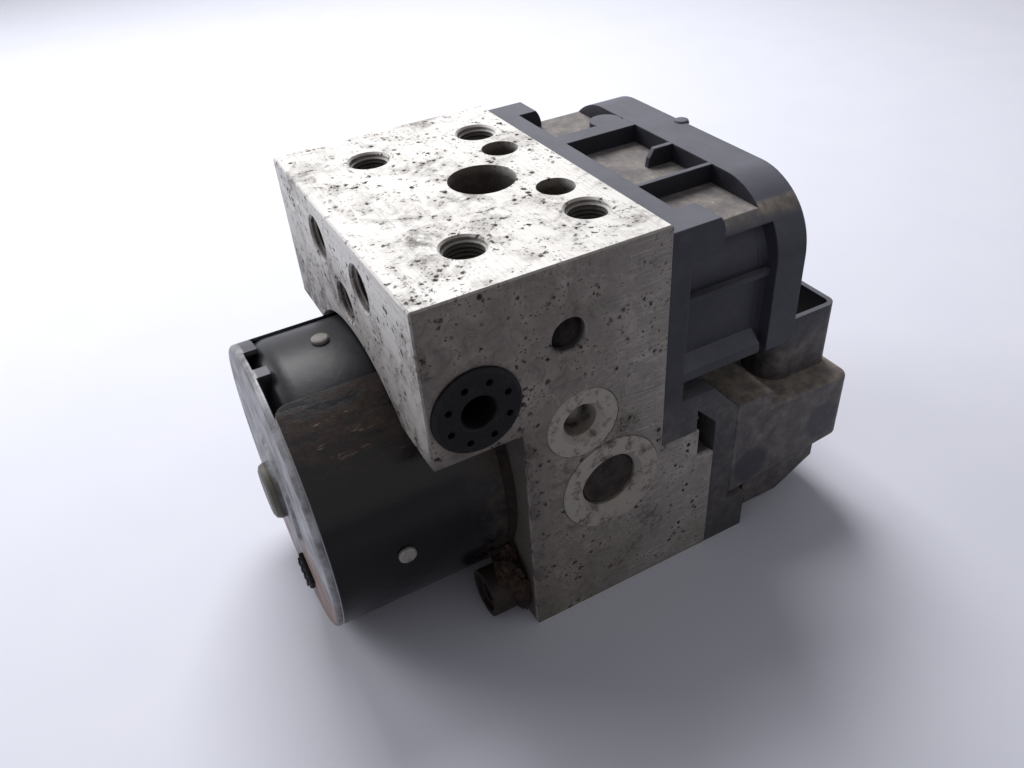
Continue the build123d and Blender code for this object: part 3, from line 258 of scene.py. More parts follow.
    relief = add(mat, "ShaderNodeMath", {0: relief, 1: specks}, operation="SUBTRACT")
    look = {"Base Color": colour, "Roughness": shine, "Metallic": metal, "Specular IOR Level": 0.25}
    surface(mat, look, relief, strength=0.35, depth=0.12 * mm, edge_r=0.25 * mm)
    return mat


def dress(name, mat):
    """Gives a CAD node its finish."""
    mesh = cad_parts[name].data
    mesh.materials.clear()
    mesh.materials.append(mat)


dress("valve_block", milled("bare milled aluminium, stained and pitted", soil=0.8, pits=1.0))


# Threads in the pipe ports.
# Fine metric threads, one millimetre apart, tapped into the aluminium.
# Each is a helical ridge that stands out of the drilled wall, dirty in its roots.
thread_pitch = 1.0 * mm
thread_ridge = 0.5 * mm
thread_root = 0.03 * mm
thread_depth = 10.0 * mm
thread_steps = 28


def thread(bm, centre, axis, wall_r):
    """Helical ridge inside a hole, from just under its mouth inwards."""
    facet = bmesh.ops.create_circle(bm, cap_ends=True, radius=0.5, segments=4)["verts"]
    root_r = wall_r + thread_root
    crest_r = wall_r - thread_ridge
    # The four corners of the ridge each have a radius, and a depth in parts of the pitch.
    corners = [(root_r, 0.0), (crest_r, 0.36), (crest_r, 0.56), (root_r, 0.92)]
    for vert, (radius, part) in zip(facet, corners):
        vert.co = (radius, 0.0, -part * thread_pitch)
    turns = int(thread_depth / thread_pitch)
    faces = list(dict.fromkeys(f for v in facet for f in v.link_faces))
    edges = list(dict.fromkeys(e for v in facet for e in v.link_edges))
    bmesh.ops.spin(
        bm, geom=facet + edges + faces, cent=(0, 0, 0), axis=(0, 0, 1),
        dvec=(0, 0, -thread_pitch / thread_steps), angle=2 * math.pi * turns,
        steps=thread_steps * turns, use_duplicate=False,
    )
    fresh = [v for v in bm.verts if not v.tag]
    turn = Vector((0, 0, 1)).rotation_difference(Vector(axis)).to_matrix().to_4x4()
    bmesh.ops.transform(bm, matrix=Matrix.Translation(centre) @ turn, verts=fresh)
    for v in fresh:
        v.tag = True


pipe_port_r = 5.0 * mm
master_port_r = 5.4 * mm
first_turn = 0.7 * mm
top_port_x = 27 * mm
top_port_ys = (19.8 * mm, 49.8 * mm)
face_port_x = 14 * mm
face_port_drop = 10 * mm
centre_port_drop = 20.7 * mm
upward = (0, 0, 1)
motorward = (0, -1, 0)
ports = bmesh.new()
for hand in (-1, 1):
    for port_y in top_port_ys:
        top_mouth = (hand * top_port_x, head_y + port_y, top_z - first_turn)
        thread(ports, top_mouth, upward, pipe_port_r)
    face_mouth = (hand * face_port_x, head_y + first_turn, top_z - face_port_drop)
    thread(ports, face_mouth, motorward, master_port_r)
thread(ports, (0, head_y + first_turn, top_z - centre_port_drop), motorward, pipe_port_r)
bmesh.ops.recalc_face_normals(ports, faces=ports.faces[:])
tapped = milled("tapped aluminium thread", soil=0.9, pits=0.5)
new_piece("port_threads", ports, tapped)


# Lumps of dirt.
# Road dirt mixed with oil, dried hard: black in the side hole, red brown round the motor's lug.
# It is matt and crumbly, with pale grit in it.
def crust(name, dark, light, grit_tone):
    """Rough crumbly matter in two tones, with grit or fibre of a third."""
    mat, spot, _ = new_material(name)
    lumps = add(mat, "ShaderNodeTexNoise", {
        "Vector": spot, "Scale": 220.0, "Detail": 7.0, "Roughness": 0.75,
    })
    grains = add(mat, "ShaderNodeTexVoronoi", {"Vector": spot, "Scale": 900.0})
    tone = add(mat, "ShaderNodeMapRange", {"Value": lumps, "From Min": 0.38, "From Max": 0.64})
    colour = add(mat, "ShaderNodeMix", {0: tone, 6: dark, 7: light}, data_type="RGBA")
    grain = add(mat, "ShaderNodeMapRange", {
        "Value": grains, "From Min": 0.22, "From Max": 0.12, "To Max": 0.7,
    })
    grain = add(mat, "ShaderNodeMath", {0: grain, 1: tone}, operation="MULTIPLY")
    colour = add(mat, "ShaderNodeMix", {0: grain, 6: colour, 7: grit_tone}, data_type="RGBA")
    look = {"Base Color": colour, "Roughness": 0.88, "Specular IOR Level": 0.2}
    surface(mat, look, lumps, strength=0.8, depth=0.5 * mm)
    return mat


lump_waves = 2.3
crumb_share = 0.3


def lump(bm, centre, half, rough, seed):
    """Closed lumpy blob about a centre; half is its half size, rough how uneven it is."""
    dice = random.Random(seed)
    shift = Vector((seed, 0, 0))
    ball = bmesh.ops.create_icosphere(bm, subdivisions=4, radius=1.0)["verts"]
    for vert in ball:
        wave = rough * noise.noise(vert.co * lump_waves + shift)
        swell = 1 + wave + crumb_share * rough * dice.uniform(-1, 1)
        vert.co = Vector([c + h * v * swell for c, h, v in zip(centre, half, vert.co)])


hole_dirt = bmesh.new()
hole_centre = (side_x - 3.6 * mm, head_y + 34.2 * mm, top_z - 17.8 * mm)
hole_fill = (3.0 * mm, 4.3 * mm, 4.3 * mm)
lump(hole_dirt, hole_centre, hole_fill, rough=0.14, seed=3)
black_dirt = crust("black oily dirt", "#0f0c0b", "#1f1a18", "#3a332f")
new_piece("side_hole_dirt", hole_dirt, black_dirt)
lug_dirt = bmesh.new()
for lump_x, lump_y, lump_z, half, rough, seed in (
    (36.5, 18.6, 15.2, (5.6 * mm, 3.3 * mm, 4.4 * mm), 0.35, 5),
    (40.6, 20.2, 9.5, (1.9 * mm, 2.2 * mm, 5.6 * mm), 0.3, 8),
    (32.0, 20.4, 19.5, (4.5 * mm, 2.0 * mm, 3.0 * mm), 0.4, 9),
):
    lump(lug_dirt, (lump_x * mm, head_y + lump_y * mm, lump_z * mm), half, rough, seed)
brown_dirt = crust("dried red brown dirt", "#1d1614", "#45342d", "#6b5a50")
new_piece("lug_dirt", lug_dirt, brown_dirt)


# Rubber bushes and seal.
# Moulded black rubber pressed into the side faces, with a ring of small blind pockets.
# It is matt with a little dust. The control unit's seal is red silicone rubber.
def moulded_rubber(name, dark, dusty):
    """Matt rubber with a little dust."""
    mat, spot, _ = new_material(name)
    dust = add(mat, "ShaderNodeTexNoise", {
        "Vector": spot, "Scale": 350.0, "Detail": 6.0, "Roughness": 0.7,
    })
    film = add(mat, "ShaderNodeMapRange", {
        "Value": dust, "From Min": 0.54, "From Max": 0.78, "To Max": 0.4,
    })
    colour = add(mat, "ShaderNodeMix", {0: film, 6: dark, 7: dusty}, data_type="RGBA")
    look = {"Base Color": colour, "Roughness": 0.6, "Specular IOR Level": 0.15}
    surface(mat, look, dust, strength=0.3, depth=0.1 * mm, edge_r=0.4 * mm)
    return mat


dress("mounting_bushes", moulded_rubber("moulded black rubber", "#0f0d11", "#3d3939"))
dress("ecu_seal", moulded_rubber("red silicone rubber", "#6a2a1f", "#7d4a3c"))


# Staked plugs in the side faces.
# Turned aluminium rings, and steel plugs and balls inside them, held by rolled metal.
# The rings are brighter than the block's side, and the plugs inside are brown with rust.
def turned(name, clean, grime, cover, rough, metallic):
    """Turned or ground metal; cover is how much of it the grime hides, from 0 to 1."""
    mat, spot, _ = new_material(name)
    grit = add(mat, "ShaderNodeTexNoise", {
        "Vector": spot, "Scale": 260.0, "Detail": 7.0, "Roughness": 0.72,
    })
    speck = add(mat, "ShaderNodeTexVoronoi", {"Vector": spot, "Scale": 700.0})
    film = add(mat, "ShaderNodeMapRange", {
        "Value": grit, "From Min": 0.62 - 0.3 * cover, "From Max": 0.74 - 0.25 * cover,
    })
    dots = add(mat, "ShaderNodeMapRange", {"Value": speck, "From Min": 0.28, "From Max": 0.12})
    strew = add(mat, "ShaderNodeMapRange", {"Value": grit, "From Min": 0.46, "From Max": 0.6})
    dots = add(mat, "ShaderNodeMath", {0: dots, 1: strew}, operation="MULTIPLY")
    mask = add(mat, "ShaderNodeMath", {0: film, 1: dots}, operation="MAXIMUM")
    colour = add(mat, "ShaderNodeMix", {0: mask, 6: clean, 7: grime}, data_type="RGBA")
    shine = add(mat, "ShaderNodeMapRange", {"Value": mask, "To Min": rough, "To Max": 0.8})
    metal = add(mat, "ShaderNodeMapRange", {"Value": mask, "To Min": metallic, "To Max": 0.1 * metallic})
    look = {"Base Color": colour, "Roughness": shine, "Metallic": metal, "Specular IOR Level": 0.25}
    surface(mat, look, grit, strength=0.25, depth=0.08 * mm, edge_r=0.2 * mm)
    return mat


ring_metal = turned("staked aluminium ring", "#9b948d", "#5b534d", 0.35, 0.6, 0.15)
dress("pump_plug_rings", ring_metal)
dress("damper_plugs", ring_metal)
dress("pump_plugs", turned("rusty steel plug", "#332c2a", "#1c1614", 0.6, 0.7, 0.1))
dress("damper_balls", turned("stained steel ball", "#5c5552", "#2a2523", 0.45, 0.4, 0.5))


# Motor housing.
# A deep drawn steel can with a sheet wrapped round it, both under gloss black paint.
# Brown road dirt lies below the seam of the sheet, by the flange and low on the can.
motor_low, motor_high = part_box("motor_can")
motor_z = (motor_low.z + motor_high.z) / 2


def painted(name, seam_dirt):
    """Gloss black paint with dust and brown dirt; seam_dirt is how much of that lies at the seam."""
    mat, spot, normal = new_material(name)
    where = add(mat, "ShaderNodeSeparateXYZ", {"Vector": spot})
    x, y, z = where.outputs
    facing = add(mat, "ShaderNodeSeparateXYZ", {"Vector": normal})
    peel = add(mat, "ShaderNodeTexNoise", {"Vector": spot, "Scale": 320.0, "Detail": 3.0})
    wave = add(mat, "ShaderNodeTexNoise", {
        "Vector": spot, "Scale": 60.0, "Detail": 5.0, "Roughness": 0.65,
    })
    grit = add(mat, "ShaderNodeTexNoise", {
        "Vector": spot, "Scale": 480.0, "Detail": 7.0, "Roughness": 0.75,
    })
    along = add(mat, "ShaderNodeMapping", {"Vector": spot, "Scale": (300, 70, 300)})
    streak = add(mat, "ShaderNodeTexNoise", {
        "Vector": along, "Scale": 1.0, "Detail": 6.0, "Roughness": 0.75,
    })
    base = add(mat, "ShaderNodeMapRange", {"Value": wave, "From Min": 0.4, "From Max": 0.7})
    colour = add(mat, "ShaderNodeMix", {0: base, 6: "#070609", 7: "#0f0e12"}, data_type="RGBA")
    # A film of dust greys what looks up.
    up = add(mat, "ShaderNodeMapRange", {
        "Value": facing.outputs["Z"], "From Min": 0.6, "From Max": 0.98, "To Max": 0.35,
    })
    film = add(mat, "ShaderNodeMapRange", {
        "Value": wave, "From Min": 0.3, "From Max": 0.6, "To Min": 0.5,
    })
    film = add(mat, "ShaderNodeMath", {0: film, 1: up}, operation="MULTIPLY")
    colour = add(mat, "ShaderNodeMix", {0: film, 6: colour, 7: "#3c3e46"}, data_type="RGBA")
    # Brown dirt lies below the seam, near the block and low on the can.
    high = add(mat, "ShaderNodeMapRange", {
        "Value": z, "From Min": motor_z + 20 * mm, "From Max": motor_z + 30 * mm,
    })
    below = add(mat, "ShaderNodeMapRange", {"Value": x, "From Min": 13 * mm, "From Max": 16 * mm})
    patch = add(mat, "ShaderNodeMapRange", {
        "Value": streak, "From Min": 0.4, "From Max": 0.56, "To Max": seam_dirt,
    })
    seam = add(mat, "ShaderNodeMath", {0: high, 1: below}, operation="MULTIPLY")
    seam = add(mat, "ShaderNodeMath", {0: seam, 1: patch}, operation="MULTIPLY")
    flange = add(mat, "ShaderNodeMapRange", {
        "Value": y, "From Min": head_y + 9 * mm, "From Max": head_y + 19 * mm,
    })
    spread = add(mat, "ShaderNodeMapRange", {
        "Value": wave, "From Min": 0.4, "From Max": 0.56, "To Max": 0.8,
    })
    flange = add(mat, "ShaderNodeMath", {0: flange, 1: spread}, operation="MULTIPLY")
    foot = add(mat, "ShaderNodeMapRange", {
        "Value": z, "From Min": 22 * mm, "From Max": 9 * mm, "To Max": 0.45,
    })
    foot = add(mat, "ShaderNodeMath", {0: foot, 1: spread}, operation="MULTIPLY")
    dirt = add(mat, "ShaderNodeMath", {0: seam, 1: flange}, operation="MAXIMUM")
    dirt = add(mat, "ShaderNodeMath", {0: dirt, 1: foot}, operation="MAXIMUM")
    soil = add(mat, "ShaderNodeMapRange", {"Value": grit, "From Min": 0.35, "From Max": 0.65})
    brown = add(mat, "ShaderNodeMix", {0: soil, 6: "#2b231f", 7: "#4a3e38"}, data_type="RGBA")
    colour = add(mat, "ShaderNodeMix", {0: dirt, 6: colour, 7: brown}, data_type="RGBA")
    flake = add(mat, "ShaderNodeMapRange", {"Value": streak, "From Min": 0.62, "From Max": 0.7})
    flake = add(mat, "ShaderNodeMath", {0: flake, 1: seam}, operation="MULTIPLY")
    colour = add(mat, "ShaderNodeMix", {0: flake, 6: colour, 7: "#a79d94"}, data_type="RGBA")
    dust = add(mat, "ShaderNodeMapRange", {
        "Value": grit, "From Min": 0.66, "From Max": 0.76, "To Max": 0.5,
    })
    colour = add(mat, "ShaderNodeMix", {0: dust, 6: colour, 7: "#3b3635"}, data_type="RGBA")
    # A thin band at the rear edge is near white.
    pale_rear_band = add(mat, "ShaderNodeMapRange", {
        "Value": y, "From Min": motor_low.y + 0.35 * mm,
        "From Max": motor_low.y + 0.1 * mm, "To Max": 0.9,
    })
    colour = add(mat, "ShaderNodeMix", {0: pale_rear_band, 6: colour, 7: "#b9b9bd"}, data_type="RGBA")
    dull = add(mat, "ShaderNodeMath", {0: dirt, 1: film}, operation="MAXIMUM")
    shine = add(mat, "ShaderNodeMapRange", {"Value": dull, "To Min": 0.24, "To Max": 0.75})
    height = add(mat, "ShaderNodeMath", {0: dirt, 1: grit}, operation="MULTIPLY")
    relief = add(mat, "ShaderNodeMath", {0: peel, 1: 0.6}, operation="MULTIPLY")
    height = add(mat, "ShaderNodeMath", {0: height, 1: relief}, operation="ADD")
    look = {"Base Color": colour, "Roughness": shine, "Specular IOR Level": 0.2}
    surface(mat, look, height, strength=0.4, depth=0.3 * mm, edge_r=0.3 * mm)
    return mat


dress("motor_can", painted("gloss black paint on the drawn can", seam_dirt=0.0))
dress("flux_ring", painted("gloss black paint on the wrapped sheet", seam_dirt=0.9))


# Motor end plate.
# Zinc plated sheet steel, pressed to a cup for the rear bearing; the cup is brown.
# White zinc bloom covers the rim, and rust has started under the cup.
plate, plate_spot, _ = new_material("zinc plated sheet steel with rust")
plate_where = add(plate, "ShaderNodeSeparateXYZ", {"Vector": plate_spot})
plate_y = plate_where.outputs["Y"]
plate_z = plate_where.outputs["Z"]
bloom = add(plate, "ShaderNodeTexNoise", {
    "Vector": plate_spot, "Scale": 120.0, "Detail": 7.0, "Roughness": 0.7,
})
rusting = add(plate, "ShaderNodeTexNoise", {
    "Vector": plate_spot, "Scale": 75.0, "Detail": 6.0, "Roughness": 0.65,
})
bloom_mask = add(plate, "ShaderNodeMapRange", {"Value": bloom, "From Min": 0.38, "From Max": 0.62})
plate_colour = add(plate, "ShaderNodeMix", {0: bloom_mask, 6: "#4f4e51", 7: "#929297"}, data_type="RGBA")
low_mask = add(plate, "ShaderNodeMapRange", {
    "Value": plate_z, "From Min": motor_z - 4 * mm, "From Max": motor_z - 14 * mm,
})
rust_mask = add(plate, "ShaderNodeMapRange", {
    "Value": rusting, "From Min": 0.46, "From Max": 0.6, "To Max": 0.85,
})
rust_mask = add(plate, "ShaderNodeMath", {0: rust_mask, 1: low_mask}, operation="MULTIPLY")
plate_colour = add(plate, "ShaderNodeMix", {
    0: rust_mask, 6: plate_colour, 7: "#6b4532",
}, data_type="RGBA")
cup_y = head_y - 27.6 * mm
cup_mask = add(plate, "ShaderNodeMapRange", {
    "Value": plate_y, "From Min": cup_y, "From Max": cup_y - 0.8 * mm,
})
cup_tone = add(plate, "ShaderNodeMix", {0: bloom_mask, 6: "#3a3631", 7: "#565148"}, data_type="RGBA")
plate_colour = add(plate, "ShaderNodeMix", {0: cup_mask, 6: plate_colour, 7: cup_tone}, data_type="RGBA")
lip_mask = add(plate, "ShaderNodeMapRange", {
    "Value": plate_y, "From Min": head_y - 24.8 * mm, "From Max": head_y - 24.4 * mm,
})
plate_colour = add(plate, "ShaderNodeMix", {
    0: lip_mask, 6: plate_colour, 7: "#3f3f45",
}, data_type="RGBA")
covered = add(plate, "ShaderNodeMath", {0: rust_mask, 1: cup_mask}, operation="MAXIMUM")
plate_metal = add(plate, "ShaderNodeMapRange", {"Value": covered, "To Min": 0.45, "To Max": 0.1})
plate_look = {"Base Color": plate_colour, "Roughness": 0.5, "Metallic": plate_metal}
surface(plate, plate_look, bloom, strength=0.3, depth=0.1 * mm, edge_r=0.4 * mm)
dress("motor_end_plate", plate)


# Vent pad on the end plate.
# A small moulded rubber pad, pressed over the motor's breather.
# Four ribs stand out from it, and it sits at a slant below the cup.
pad_size = (9 * mm, 1.3 * mm, 6 * mm)
pad_round = 0.4 * mm
pad_centre = (7.1 * mm, head_y - 27.1 * mm, 14.4 * mm)
pad_turn = math.radians(28)
rib_size = (0.9 * mm, 0.7 * mm, 5 * mm)
rib_xs = (-3 * mm, -1 * mm, 1 * mm, 3 * mm)
rib_lift = 0.8 * mm


def rounded(bm, offset):
    """Rounds every edge of a bmesh."""
    bmesh.ops.bevel(
        bm, geom=bm.edges[:], offset=offset, segments=2, profile=0.5, affect="EDGES", material=-1,
    )


vent_rubber = moulded_rubber("ribbed vent rubber", "#1b1a1d", "#4a4648")
vent = bmesh.new()
pad = bmesh.ops.create_cube(vent, size=1.0)["verts"]
bmesh.ops.scale(vent, vec=pad_size, verts=pad)
rounded(vent, pad_round)
for rib_x in rib_xs:
    rib = bmesh.ops.create_cube(vent, size=1.0)["verts"]
    bmesh.ops.scale(vent, vec=rib_size, verts=rib)
    bmesh.ops.translate(vent, vec=(rib_x, -rib_lift, 0), verts=rib)
pad_place = Matrix.Translation(pad_centre) @ Matrix.Rotation(pad_turn, 4, "Y")
bmesh.ops.transform(vent, matrix=pad_place, verts=vent.verts[:])
new_piece("vent_pad", vent, vent_rubber)


# Rivets, screws, flange and covers.
# Small plated steel fasteners with a dull shine and dirt round them.
# The flange is die cast, and the covers under the block are pressed steel.
dress("motor_rivets", turned("dull zinc plated rivet", "#86837f", "#544e49", 0.3, 0.6, 0.3))
dress("motor_screws", turned("oily plated screw", "#2e2723", "#181310", 0.7, 0.5, 0.4))
dress("motor_flange", turned("die cast flange under brown dirt", "#2a211d", "#130f0e", 0.6, 0.7, 0.05))
dress("ecu_screws", turned("black zinc plated screw", "#3b3b3e", "#1f1e1f", 0.4, 0.4, 0.7))
dress("accumulator_covers", turned("pressed steel cover", "#8d8a86", "#4f4a45", 0.5, 0.45, 0.7))


# Control unit housing and cover.
# Glass filled nylon, moulded dark blue grey, with a fine matt skin.
# Dust and dried mud lie on the faces that look up, mixed with painted sheen and painted light, and
# handling has rubbed some spots clean.
def moulded(name, dark, light, mud_and_light_share):
    """Moulded plastic between two tones; mud_and_light_share is how thick dried mud lies on its upper
    faces, and how much painted light it lays on the lower ledges.
    """
    mat, spot, normal = new_material(name)
    facing = add(mat, "ShaderNodeSeparateXYZ", {"Vector": normal})
    where = add(mat, "ShaderNodeSeparateXYZ", {"Vector": spot})
    z = where.outputs["Z"]
    cloud = add(mat, "ShaderNodeTexNoise", {
        "Vector": spot, "Scale": 55.0, "Detail": 6.0, "Roughness": 0.62,
    })
    mottle = add(mat, "ShaderNodeTexNoise", {
        "Vector": spot, "Scale": 230.0, "Detail": 7.0, "Roughness": 0.72,
    })
    skin = add(mat, "ShaderNodeTexNoise", {"Vector": spot, "Scale": 1600.0, "Detail": 2.0})
    crumbs = add(mat, "ShaderNodeTexVoronoi", {"Vector": spot, "Scale": 520.0})
    shade = add(mat, "ShaderNodeMapRange", {"Value": cloud, "From Min": 0.35, "From Max": 0.7})
    colour = add(mat, "ShaderNodeMix", {0: shade, 6: dark, 7: light}, data_type="RGBA")
    rubbed = add(mat, "ShaderNodeMapRange", {
        "Value": mottle, "From Min": 0.55, "From Max": 0.75, "To Max": 0.3,
    })
    colour = add(mat, "ShaderNodeMix", {0: rubbed, 6: colour, 7: "#54545c"}, data_type="RGBA")
    # The pale film on faces that look up is partly dust and partly a painted sheen, reaching far round
    # the rounded corners that catch the light.
    up = add(mat, "ShaderNodeMapRange", {
        "Value": facing.outputs["Z"], "From Min": 0.12, "From Max": 0.8,
    })
    film = add(mat, "ShaderNodeMapRange", {
        "Value": cloud, "From Min": 0.25, "From Max": 0.6, "To Min": 0.3, "To Max": 0.62,
    })
    film = add(mat, "ShaderNodeMath", {0: film, 1: up}, operation="MULTIPLY")
    colour = add(mat, "ShaderNodeMix", {0: film, 6: colour, 7: "#7c7c87"}, data_type="RGBA")
    # Mud lies in the recess of the top, on the lower ledges, and thinly on the box below them; on the
    # ledges and the box it is also a painted pool of light where the hood shades them.
    under_rim = add(mat, "ShaderNodeMapRange", {
        "Value": z, "From Min": top_z - 5.6 * mm, "From Max": top_z - 6.4 * mm,
    })
    over_ledge = add(mat, "ShaderNodeMapRange", {
        "Value": z, "From Min": top_z - 9.6 * mm, "From Max": top_z - 7.6 * mm,
    })
    recess = add(mat, "ShaderNodeMath", {0: under_rim, 1: over_ledge}, operation="MULTIPLY")
    recess = add(mat, "ShaderNodeMath", {0: recess, 1: up}, operation="MULTIPLY")
    ledge_mud_and_light = add(mat, "ShaderNodeMapRange", {
        "Value": z, "From Min": top_z - 46 * mm, "From Max": top_z - 56 * mm,
    })
    thin = add(mat, "ShaderNodeMath", {0: up, 1: 0.3}, operation="MAXIMUM")
    ledge_mud_and_light = add(mat, "ShaderNodeMath", {0: ledge_mud_and_light, 1: thin}, operation="MULTIPLY")
    mud = add(mat, "ShaderNodeMath", {0: recess, 1: ledge_mud_and_light}, operation="MAXIMUM")
    broken = add(mat, "ShaderNodeMapRange", {
        "Value": mottle, "From Min": 0.25, "From Max": 0.6,
        "To Min": 0.5 * mud_and_light_share, "To Max": mud_and_light_share,
    })
    mud = add(mat, "ShaderNodeMath", {0: mud, 1: broken}, operation="MULTIPLY")
    # Fingers have rubbed two round spots clean on the side of the connector box.
    clean_r = 6.5
    for clean_y, clean_z in ((91.2, 23.0), (116.5, 27.5)):
        centre = (side_x, head_y + clean_y * mm, clean_z * mm)
        reach = add(mat, "ShaderNodeVectorMath", {0: spot, 1: centre}, operation="DISTANCE")
        ragged = add(mat, "ShaderNodeMath", {0: cloud, 1: 3.0 * mm}, operation="MULTIPLY")
        reach = add(mat, "ShaderNodeMath", {0: reach.outputs["Value"], 1: ragged}, operation="ADD")
        kept = add(mat, "ShaderNodeMapRange", {
            "Value": reach, "From Min": clean_r * mm, "From Max": (clean_r + 2) * mm, "To Min": 0.15,
        })
        mud = add(mat, "ShaderNodeMath", {0: mud, 1: kept}, operation="MULTIPLY")
    tone = add(mat, "ShaderNodeMapRange", {"Value": mottle, "From Min": 0.4, "From Max": 0.68})
    tan = add(mat, "ShaderNodeMix", {0: tone, 6: "#827970", 7: "#b8ad9f"}, data_type="RGBA")
    colour = add(mat, "ShaderNodeMix", {0: mud, 6: colour, 7: tan}, data_type="RGBA")
    crumb = add(mat, "ShaderNodeMapRange", {
        "Value": crumbs, "From Min": 0.22, "From Max": 0.1, "To Max": 0.8,
    })
    strew = add(mat, "ShaderNodeMapRange", {"Value": mottle, "From Min": 0.52, "From Max": 0.62})
    crumb = add(mat, "ShaderNodeMath", {0: crumb, 1: strew}, operation="MULTIPLY")
    crumb = add(mat, "ShaderNodeMath", {0: crumb, 1: recess}, operation="MULTIPLY")
    colour = add(mat, "ShaderNodeMix", {0: crumb, 6: colour, 7: "#c0b6a8"}, data_type="RGBA")
    dull = add(mat, "ShaderNodeMath", {0: mud, 1: film}, operation="MAXIMUM")
    shine = add(mat, "ShaderNodeMapRange", {"Value": dull, "To Min": 0.45, "To Max": 0.8})
    height = add(mat, "ShaderNodeMath", {0: mud, 1: mottle}, operation="MULTIPLY")
    grain = add(mat, "ShaderNodeMath", {0: skin, 1: 0.25}, operation="MULTIPLY")
    height = add(mat, "ShaderNodeMath", {0: height, 1: grain}, operation="ADD")
    look = {"Base Color": colour, "Roughness": shine, "Specular IOR Level": 0.2}
    surface(mat, look, height, strength=0.4, depth=0.25 * mm, edge_r=0.5 * mm)
    return mat


hood_dark = "#2c2d35"
hood_light = "#3d3d46"
carrier_nylon = moulded("glass filled nylon, coil carrier", "#292a31", "#3a3a42", mud_and_light_share=0.5)
dress("ecu_housing", carrier_nylon)
# The hood's thick mud is partly a painted pool of light on its lower ledges.
hood_nylon = moulded("glass filled nylon, hood and box", hood_dark, hood_light, mud_and_light_share=0.95)
dress("ecu_cover", hood_nylon)


# Mould gate on the hood's rear edge.
# A small nub of the hood's own nylon, left where the plastic entered the mould.
# It is a short round stub with a rounded rim.
gate_r = 2.2 * mm
gate_tip_r = 1.8 * mm
gate_height = 1.0 * mm
gate_centre = (-4.7 * mm, head_y + 99.4 * mm, top_z - 2.0 * mm)
gate = bmesh.new()
nub = bmesh.ops.create_cone(
    gate, cap_ends=True, segments=24, radius1=gate_r, radius2=gate_tip_r, depth=gate_height,
)["verts"]
bmesh.ops.translate(gate, vec=gate_centre, verts=nub)
rounded(gate, 0.2 * mm)
gate_nylon = moulded("glass filled nylon, gate", hood_dark, hood_light, mud_and_light_share=0.5)
new_piece("mould_gate", gate, gate_nylon)


# Torn end of the foot bar.
# The bar has snapped, and the broken nylon shows its pale glass fibre in ragged shreds.
# Each shred is a thin cone with its own lean, set on the face of the break.
bar_end_y = head_y + 70.8 * mm
bar_top_z = 56.5 * mm
shred_count = 26
shred_sink = 0.3 * mm
shred_drop = 0.6 * mm
shred_tip_r = 0.08 * mm
torn_height = 8.5 * mm
torn = bmesh.new()
shreds = random.Random(12)
for _ in range(shred_count):
    height = shreds.uniform(0.05, 1.0)
    shred = bmesh.ops.create_cone(
        torn, cap_ends=True, segments=7, radius1=shreds.uniform(0.35, 0.9) * mm,
        radius2=shred_tip_r, depth=shreds.uniform(1.0, 2.6) * mm,
    )["verts"]
    lean = Matrix.Rotation(math.radians(shreds.uniform(-115, -60)), 4, "X")
    twist = Matrix.Rotation(math.radians(shreds.uniform(-35, 35)), 4, "Z")
    spot_x = side_x - shreds.uniform(0.4, 5.0) * mm
    spot_z = bar_top_z - shred_drop - height * torn_height
    place = Matrix.Translation((spot_x, bar_end_y + shred_sink, spot_z)) @ twist @ lean
    bmesh.ops.transform(torn, matrix=place, verts=shred)
torn_nylon = crust("torn nylon with glass fibre", "#57535a", "#8e8a90", "#b9b6bb")
new_piece("torn_bar_end", torn, torn_nylon)


# Connector pins.
# Bent brass wire with a bright tin plating, pressed through the floor of the socket.
dress("connector_pins", turned("tinned brass pin", "#b9b19a", "#8d8468", 0.2, 0.3, 0.9))


# Pieces inside the module.
# Ground steel, copper, plastic and ferrite that show only when the module is opened.
# Each has its own finish, and the springs, the valves and the pistons share theirs.
for node_name, finish, clean, grime, cover, rough, metallic in (
    ("shaft", "ground steel shaft", "#a6a6a8", "#7c7c80", 0.1, 0.25, 1.0),
    ("eccentric_ring", "hardened steel ring", "#9c9ca0", "#74747a", 0.1, 0.25, 1.0),
    ("rear_bearing", "sintered bearing bush", "#8b7c66", "#665a4a", 0.3, 0.4, 0.9),
    ("front_bearing", "ball bearing steel, front", "#a0a0a4", "#77777c", 0.1, 0.28, 1.0),
    ("tail_bearing", "ball bearing steel, tail", "#a0a0a4", "#77777c", 0.1, 0.28, 1.0),
    ("commutator", "commutator copper", "#b0673c", "#6f3d24", 0.3, 0.35, 0.9),
    ("armature_core", "laminated core steel", "#6c6d70", "#4a4b4e", 0.3, 0.5, 0.8),
    ("armature_windings", "enamelled copper wire", "#8f4a22", "#6a3013", 0.4, 0.3, 0.6),
    ("magnets", "sintered ferrite", "#35363a", "#242528", 0.4, 0.6, 0.1),
    ("brush_card", "brown phenolic card", "#4a3420", "#352414", 0.4, 0.6, 0.0),
    ("brushes", "pressed carbon", "#2a2a2c", "#1b1b1c", 0.3, 0.45, 0.2),
    ("motor_lead", "black lead plug", "#1f1f22", "#151517", 0.3, 0.5, 0.0),
    ("solenoid_coils", "dark moulded coil bobbin", "#2c2d31", "#1f2023", 0.3, 0.5, 0.0),
    ("circuit_board", "green glass fibre board", "#1d5a34", "#164427", 0.3, 0.35, 0.0),
):
    dress(node_name, turned(finish, clean, grime, cover, rough, metallic))
spring_wire = turned("hard drawn spring wire", "#8b8c90", "#5f6064", 0.2, 0.3, 1.0)
for node_name in (
    "pump_spring_left", "pump_spring_right",
    "accumulator_spring_left", "accumulator_spring_right", "brush_springs",
):
    dress(node_name, spring_wire)
valve_steel = turned("turned stainless valve", "#a8a7a4", "#83827f", 0.15, 0.28, 1.0)
